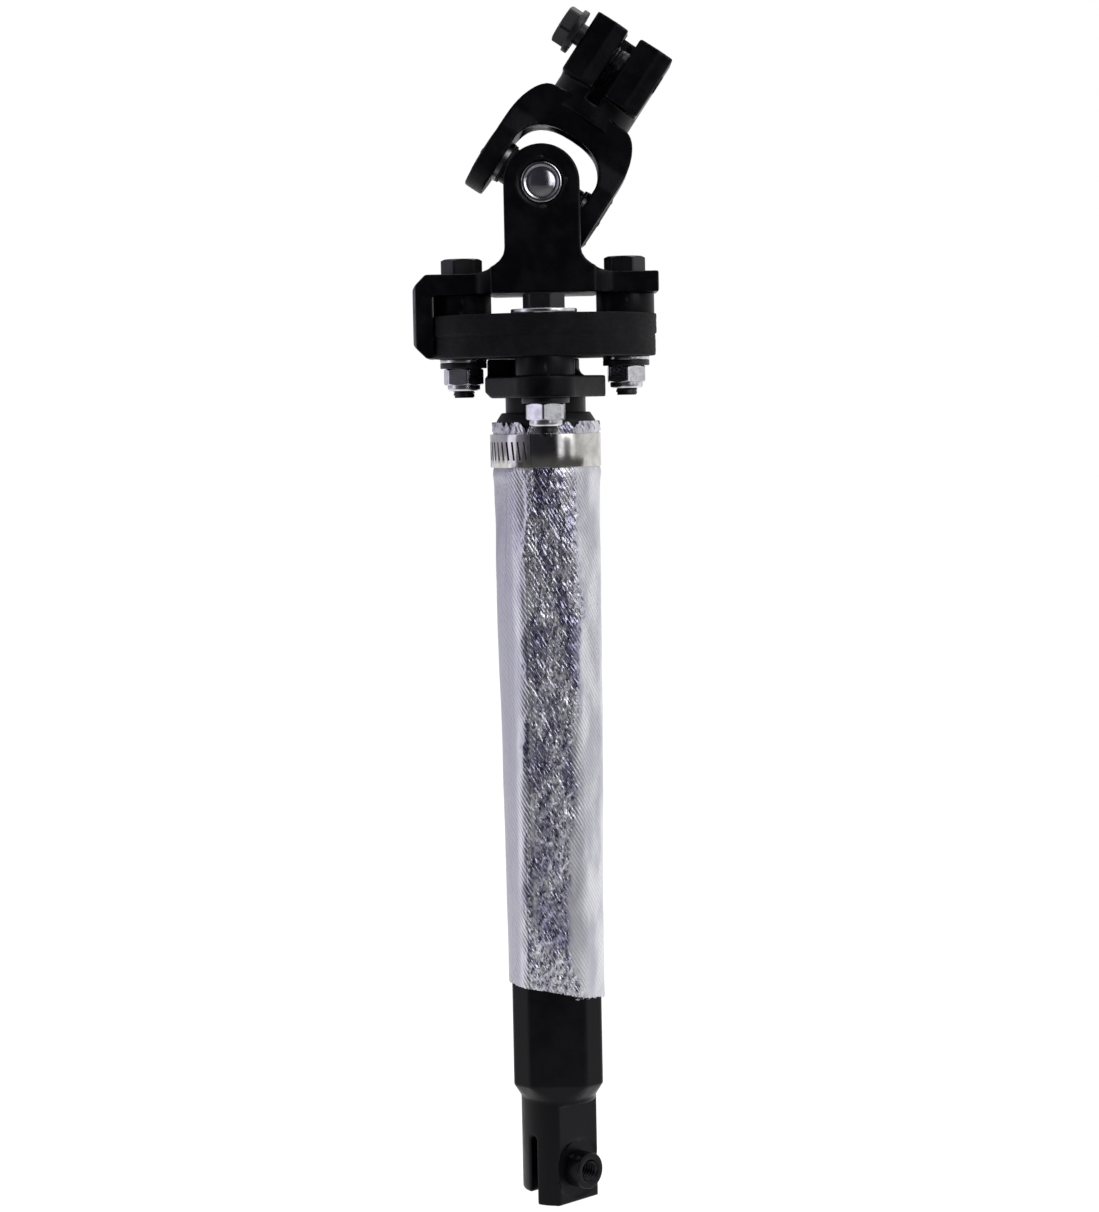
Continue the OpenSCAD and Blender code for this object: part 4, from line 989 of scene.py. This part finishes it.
inner = size["innerR"]
wrapped = turned("clamp_band_rolled", [(inner, bandFoot), (inner + size["t"], bandFoot), (inner + size["t"], bandTop),
                                       (inner, bandTop)], Matrix(), size["ringEase"], count=144)
tail = bandStrip("clampTail", inner + size["t"], inner + 2 * size["t"], bandFoot, bandTop, size["start"], size["end"])
sweep = math.radians(size["pitch"] * (size["slots"] - 1))
first = math.radians(size["firstSlot"] - 90)
tailCut = grown("clamp_tail_slotted", slots,
                {"Slots": size["slots"], "Radius": (inner + 1.5 * size["t"]) * mm, "Slot Width": size["slotWidth"] * mm,
                 "Slot Length": size["slotLength"] * mm, "Slant": math.radians(size["slant"]),
                 "Start": first - sweep, "Sweep": sweep, "Height": bandZ * mm}, "clamp_steel", tail)
settle(joined([wrapped, tailCut], "clamp_band_rolled"), "lower_tube", "clamp_steel", "clamp_steel", "clamp_band")

worm = {"azimuth": -155, "screwR": 2.8, "reach": 23.56, "flats": 6.0, "head": 3.4, "rod": 13, "pitch": 1.9}
size = worm
outward = math.radians(size["azimuth"] - 90)
headSide = Matrix.Translation((size["reach"] * math.cos(outward), size["reach"] * math.sin(outward), bandZ))
headSide = headSide @ Matrix.Rotation(outward, 4, "Z") @ toFront @ Matrix.Translation((0, 0, 5.8))
points, faces = hexRings(size["flats"], size["head"], dish=0.6)
screwHead = meshFrom("wormHead", points, faces)
wormScrew = grown("clamp_screw_threaded", threads,
                  {"Radius": size["screwR"] * mm, "Length": (size["rod"] - 0.7) * mm, "Thread Length": 10.5 * mm,
                   "Pitch": size["pitch"] * mm, "Depth": 0.0007}, "clamp_steel", screwHead, headSide)
settle(wormScrew, "lower_tube", "clamp_steel", "clamp_steel", "clamp_screw")
print("seal and band clamp made")


# Heat shield: foil-faced glass cloth wrapped round the tube

shield = {"thickness": 0.9, "round": 18.855, "half": 17.1, "bevel": 19.485, "squareTop": 246, "roundFoot": 250,
          "around": 276, "up": 318, "innerAround": 46, "innerUp": 24, "seam": -49, "lap": 0.42,
          "hollow": 0.35, "bandSquash": 0.12}
shieldFoot, shieldTop = low("heat_shield").z, high("heat_shield").z


def smoothStep(start, end, value):
    t = min(max((value - start) / (end - start), 0), 1)
    return t * t * (3 - 2 * t)


# distance from the axis to the bevelled square, with its corners eased
def squareReach(angle, half, bevel):
    def sharp(a):
        flat = half / max(abs(math.cos(a)), abs(math.sin(a)))
        b = a - math.pi / 4
        return min(flat, bevel / max(abs(math.cos(b)), abs(math.sin(b))))
    return sum(sharp(angle + math.radians(d)) for d in (-5, -3, -1, 1, 3, 5)) / 6


# ridges between cells: 0 inside a cell, 1 on its border
def ridge(point):
    spans = noise.voronoi(point)[0]
    return 1 - min((spans[1] - spans[0]) * 2.2, 1)


# how much each azimuth is crushed; the front is worst, and the sides are smooth
def crushed(azimuth, z):
    share = (z - shieldFoot) / (shieldTop - shieldFoot)
    wander = 7 * noise.fractal(Vector((0, z * 0.045, 6.6)), 0.7, 2.1, 4)
    start = -20 - 12 * (1 - share) + wander
    finish = 14 + 20 * smoothStep(0.1, 0.7, share) + 14 * (1 - smoothStep(0, 0.1, share)) + wander
    return smoothStep(start - 6, start + 4, azimuth) * (1 - smoothStep(finish - 5, finish + 6, azimuth))


def shieldPoint(azimuth, z, share):
    size = shield
    a = math.radians(azimuth)
    angle = a - math.pi / 2
    rise = smoothStep(shieldFoot + 4, size["squareTop"], z)
    half = size["half"] + (size["round"] - size["half"]) * rise * 0.9
    square = squareReach(angle, half, size["bevel"])
    blend = smoothStep(size["squareTop"] - 12, size["roundFoot"] + 4, z)
    reach = square + (size["round"] - square) * blend
    arc = azimuth / 360 * 118
    at = Vector((arc, z, 0))
    # one long fold stands up between the smooth left side and the crushed front
    foldArc = arc + 7.2 + 0.9 * noise.noise(Vector((0, z * 0.035, 2.0)))
    fold = math.exp(-(foldArc / 0.55) ** 2) * (0.55 + 0.6 * noise.noise(Vector((1, z * 0.06, 4.0))))
    fold *= smoothStep(shieldFoot + 12, shieldFoot + 40, z)
    crush = crushed(azimuth, z) * (1 - min(max(fold, 0) * 1.2, 0.9))
    big = noise.fractal(Vector((arc * 0.055, z * 0.03, 1.7)), 0.8, 2.0, 3)
    mid = ridge(Vector((arc * 0.19 + 0.35 * noise.noise(at * 0.11), z * 0.105, 4.0)))
    fine = ridge(Vector((arc * 0.42 + z * 0.08, z * 0.3, 7.0)))
    tiny = noise.noise(Vector((arc * 0.9, z * 0.62, 2.0)))
    diagonal = math.sin((arc * 0.87 + z * 0.5) * 2 * math.pi / 2.6 + 2 * big)
    weave = smoothStep(12, 34, azimuth) * (1 - smoothStep(100, 150, azimuth))
    out = 0.30 * big + crush * (0.55 * mid + 0.32 * fine + 0.12 * tiny - 0.25)
    out += (1 - crush) * 0.05 * tiny + weave * 0.015 * diagonal
    # the cloth's own edge laps over along the seam
    lapped = smoothStep(size["seam"] - 1.2, size["seam"] + 0.6, azimuth + 1.1 * noise.noise(Vector((z * 0.07, 5, 1))))
    lapped *= 1 - smoothStep(size["seam"] + 8, size["seam"] + 34, azimuth)
    out += size["lap"] * lapped + 0.6 * fold
    # the band presses it in, and it swells beside the band
    pressed = smoothStep(bandFoot - 0.9, bandFoot - 0.1, z)
    above = smoothStep(bandTop + 0.1, bandTop + 1.2, z)
    swell = math.exp(-((z - bandFoot + 2.4) / 2.2) ** 2) * 0.35
    out = (out + swell) * (1 - pressed) - 0.06 * pressed
    frill = noise.fractal(Vector((arc * 0.42, z * 0.1, 6.0)), 0.7, 2.2, 3)
    out += above * (0.2 + 0.75 * frill)
    out = min(max(out, -0.55), 1.15)
    return reach + out, crush, weave


# heights of the shield's two edges at an azimuth: torn and frayed at the lower right
def shieldEdges(azimuth):
    arc = azimuth / 360 * 118
    x = math.sin(math.radians(azimuth))
    foot = shieldFoot + 3.5 - 3.5 * x
    foot += 0.35 * noise.fractal(Vector((arc * 0.25, 0, 3.3)), 0.8, 2.0, 4)
    torn = smoothStep(28, 44, azimuth) * (1 - smoothStep(80, 110, azimuth))
    foot += torn * 0.9 * noise.fractal(Vector((arc * 0.5, 1, 5.1)), 0.6, 2.2, 4)
    flaps = noise.fractal(Vector((arc * 0.33, 2, 1.1)), 0.7, 2.2, 4)
    top = shieldTop - 0.3 - 1.6 * smoothStep(-0.1, 0.5, flaps)
    gap = math.exp(-((azimuth + 22) / 5.0) ** 2)
    top -= 2.6 * gap + 1.2 * math.exp(-((azimuth - 30) / 4.0) ** 2)
    return max(foot, shieldFoot - 0.2), min(top, shieldTop)


def makeShield():
    size = shield
    points, faces, crush, weave, cloth = [], [], [], [], []
    across, tall = size["around"], size["up"]
    for j in range(tall + 1):
        for i in range(across):
            azimuth = -180 + 360 * i / across
            foot, top = shieldEdges(azimuth)
            share = j / tall
            z = foot + (top - foot) * share
            reach, crushedHere, woven = shieldPoint(azimuth, z, share)
            a = math.radians(azimuth)
            points.append((reach * math.sin(a), -reach * math.cos(a), z))
            crush.append(crushedHere)
            weave.append(woven)
            cloth.append((azimuth / 360 * 118 * mm, z * mm))
    for j in range(tall):
        a, b = j * across, (j + 1) * across
        faces += [(a + i, a + (i + 1) % across, b + (i + 1) % across, b + i) for i in range(across)]
    # the inner wall is plain and much coarser; each of its edges meets several outer ones
    step = across // size["innerAround"]
    wall = len(points)
    slim, rows = size["innerAround"], size["innerUp"]
    for j in range(rows + 1):
        for i in range(slim):
            azimuth = -180 + 360 * i / slim
            foot, top = shieldEdges(azimuth)
            outer = points[round(j / rows * tall) * across + i * step]
            z = foot + (top - foot) * j / rows
            z = min(max(z, foot + 0.1), top - 0.1)
            a = math.radians(azimuth)
            angle = a - math.pi / 2
            rise = smoothStep(shieldFoot + 4, size["squareTop"], z)
            half = size["half"] - size["thickness"] + (size["round"] - size["half"]) * rise
            square = squareReach(angle, half, size["bevel"] - size["thickness"])
            blend = smoothStep(size["squareTop"] - 12, size["roundFoot"] + 4, z)
            reach = min(square + (size["round"] - size["thickness"] - square) * blend, math.hypot(*outer[:2]) - 0.25)
            points.append((reach * math.sin(a), -reach * math.cos(a), z))
            crush.append(0.0)
            weave.append(0.0)
            cloth.append((azimuth / 360 * 118 * mm, z * mm))
    for j in range(rows):
        a, b = wall + j * slim, wall + (j + 1) * slim
        faces += [(a + i, b + i, b + (i + 1) % slim, a + (i + 1) % slim) for i in range(slim)]
    for outerRow, innerRow in ((0, wall), (tall * across, wall + rows * slim)):
        for i in range(slim):
            inner, following = innerRow + i, innerRow + (i + 1) % slim
            row = [outerRow + (i * step + k) % across for k in range(step + 1)]
            half = step // 2
            faces += [(inner, row[k], row[k + 1]) for k in range(half)]
            faces.append((inner, row[half], following))
            faces += [(following, row[k], row[k + 1]) for k in range(half, step)]
    mesh = bpy.data.meshes.new("heat_shield_foil")
    mesh.from_pydata([tuple(Vector(point) * mm) for point in points], [], faces)
    for label, values in (("creased", crush), ("printed", weave)):
        mesh.attributes.new(label, "FLOAT", "POINT").data.foreach_set("value", values)
    layer = mesh.uv_layers.new(name="cloth")
    for loop in mesh.loops:
        layer.data[loop.index].uv = cloth[loop.vertex_index]
    work = bmesh.new()
    work.from_mesh(mesh)
    bmesh.ops.recalc_face_normals(work, faces=work.faces)
    work.to_mesh(mesh)
    work.free()
    shadeBy(mesh, 60)
    return newPiece("heat_shield_foil", mesh)


foil = settle(makeShield(), "lower_tube", "foil_cloth", "foil_cloth", "heat_shield")
print("heat shield made:", len(foil.data.polygons), "faces")


fray = {"fibres": 34, "radius": 18.2, "above": 1.3, "from": 22, "to": 68}
loose = grown("loose_fibres", fibres,
              {"Fibres": fray["fibres"], "Radius": fray["radius"] * mm, "Height": (shieldFoot + fray["above"]) * mm,
               "Start": math.radians(fray["from"] - 90), "Sweep": math.radians(fray["to"] - fray["from"])}, "foil_cloth")
settle(loose, "lower_tube", "foil_cloth", "foil_cloth")
print("loose fibres made")


# Floor, light and camera

studio = {"floorSize": 6.0, "ambient": 0.24,
          # brightness in reflections by azimuth, from behind the piece by the left, the viewer (0) and the right
          "room": [(-180, (0.42, 0.41, 0.46)), (-110, (0.34, 0.33, 0.39)), (-60, (0.2, 0.19, 0.23)),
                   (-32, (0.02, 0.02, 0.025)), (23, (0.012, 0.012, 0.016)), (27, (0.95, 0.95, 1.0)),
                   (35, (0.95, 0.95, 1.0)), (39, (0.16, 0.16, 0.17)), (50, (0.2, 0.2, 0.2)), (53, (0.9, 0.9, 0.92)),
                   (60, (0.9, 0.9, 0.92)), (65, (0.46, 0.46, 0.46)), (90, (0.62, 0.63, 0.63)), (180, (0.62, 0.62, 0.62))],
          "roomLevel": 1.5,
          "key": {"at": (0.75, -0.75, 0.85), "size": (0.5, 0.9), "watts": 3.6, "colour": (1.0, 1.0, 1.0)},
          "left": {"at": (-0.95, -0.25, 0.35), "size": (0.35, 1.1), "watts": 1.2, "colour": (0.86, 0.84, 1.0)},
          "top": {"at": (0.1, 0.3, 1.3), "size": (0.8, 0.8), "watts": 3.0, "colour": (1.0, 1.0, 1.0)},
          "target": (0, 0, 0.22)}
view = {"lens": 83, "at": (0.0, -1.0, 0.289), "down": 4.2, "roll": -1.1}


# white where the picture, a reflection or a see-through part looks at it
def seenByPicture(tree):
    rays = tree.add("ShaderNodeLightPath").socket.node.outputs
    seen = Term(tree, rays["Is Camera Ray"]).math("MAXIMUM", Term(tree, rays["Is Glossy Ray"]))
    return seen.math("MAXIMUM", Term(tree, rays["Is Transmission Ray"])), Term(tree, rays["Is Glossy Ray"])


def makeWorld():
    world = bpy.data.worlds.new("studio")
    world.use_nodes = True
    bpy.context.scene.world = world
    tree = Tree(world.node_tree)
    tree.tree.nodes.clear()
    seen, glossy = seenByPicture(tree)
    way = tree.add("ShaderNodeSeparateXYZ", None, {0: tree.add("ShaderNodeTexCoord", output="Generated")})
    x, y, z = [Term(tree, socket) for socket in way.socket.node.outputs]
    azimuth = x.math("ARCTAN2", y * -1) / (2 * math.pi) + 0.5
    stops = [((angle + 180) / 360, colour) for angle, colour in studio["room"]]
    room = tree.add("ShaderNodeValToRGB", {"stops": stops}, {0: azimuth})
    plain = studio["ambient"] + (1 - studio["ambient"]) * seen
    backdrop = tree.add("ShaderNodeBackground", None, {"Color": (1, 1, 1, 1), "Strength": plain})
    mirrored = tree.add("ShaderNodeBackground", None, {"Color": room, "Strength": studio["roomLevel"]})
    light = tree.add("ShaderNodeMixShader", None, {0: glossy, 1: backdrop, 2: mirrored})
    out = tree.tree.nodes.new("ShaderNodeOutputWorld")
    tree.feed(out.inputs[0], light)


def makeFloor():
    half = studio["floorSize"] / 2
    mesh = bpy.data.meshes.new("floor")
    mesh.from_pydata([(-half, -half, 0), (half, -half, 0), (half, half, 0), (-half, half, 0)], [], [(0, 1, 2, 3)])
    floor = newPiece("floor", mesh)
    finish = Finish("paleFloor", {"Base Color": (0.8, 0.8, 0.8), "Roughness": 0.9, "Specular IOR Level": 0.0})
    seen, glossy = seenByPicture(finish)
    away = finish.parts(finish.place)[1]
    # the floor in front of the piece is out of the light, and dark in reflections
    lit = 1 - glossy * finish.span(away, -60, -320)
    shaded = finish.add("ShaderNodeBsdfDiffuse", None, {"Color": (0.3, 0.3, 0.3, 1)})
    glow = finish.add("ShaderNodeEmission", None, {"Strength": lit * 0.98})
    pale = finish.add("ShaderNodeAddShader", None, {0: shaded, 1: glow})
    plain = Term(finish, finish.shader.outputs[0])
    finish.feed(finish.output.inputs[0], finish.add("ShaderNodeMixShader", None, {0: seen, 1: plain, 2: pale}))
    mesh.materials.append(finish.material)


def makeLamp(name):
    lamp = studio[name]
    data = bpy.data.lights.new(name, "AREA")
    data.shape = "RECTANGLE"
    data.size, data.size_y = lamp["size"]
    data.energy = lamp["watts"]
    data.color = lamp["colour"]
    light = newPiece(name + "Light", data)
    light.location = lamp["at"]
    aim = Vector(studio["target"]) - Vector(lamp["at"])
    light.rotation_euler = aim.to_track_quat("-Z", "Y").to_euler()


def makeCamera():
    data = bpy.data.cameras.new("camera")
    data.lens = view["lens"]
    camera = newPiece("camera", data)
    down, roll = math.radians(view["down"]), math.radians(view["roll"])
    right, up = Vector((1, 0, 0)), Vector((0, math.sin(down), math.cos(down)))
    ahead = Vector((0, math.cos(down), -math.sin(down)))
    across = right * math.cos(roll) + up * math.sin(roll)
    over = up * math.cos(roll) - right * math.sin(roll)
    turn = Matrix((across, over, -ahead)).transposed()
    camera.matrix_world = Matrix.LocRotScale(Vector(view["at"]), turn.to_quaternion(), None)
    bpy.context.scene.camera = camera


makeWorld()
makeFloor()
for name in ("key", "left", "top"):
    makeLamp(name)
makeCamera()
bpy.context.scene.view_settings.view_transform = "Standard"
print("studio made")
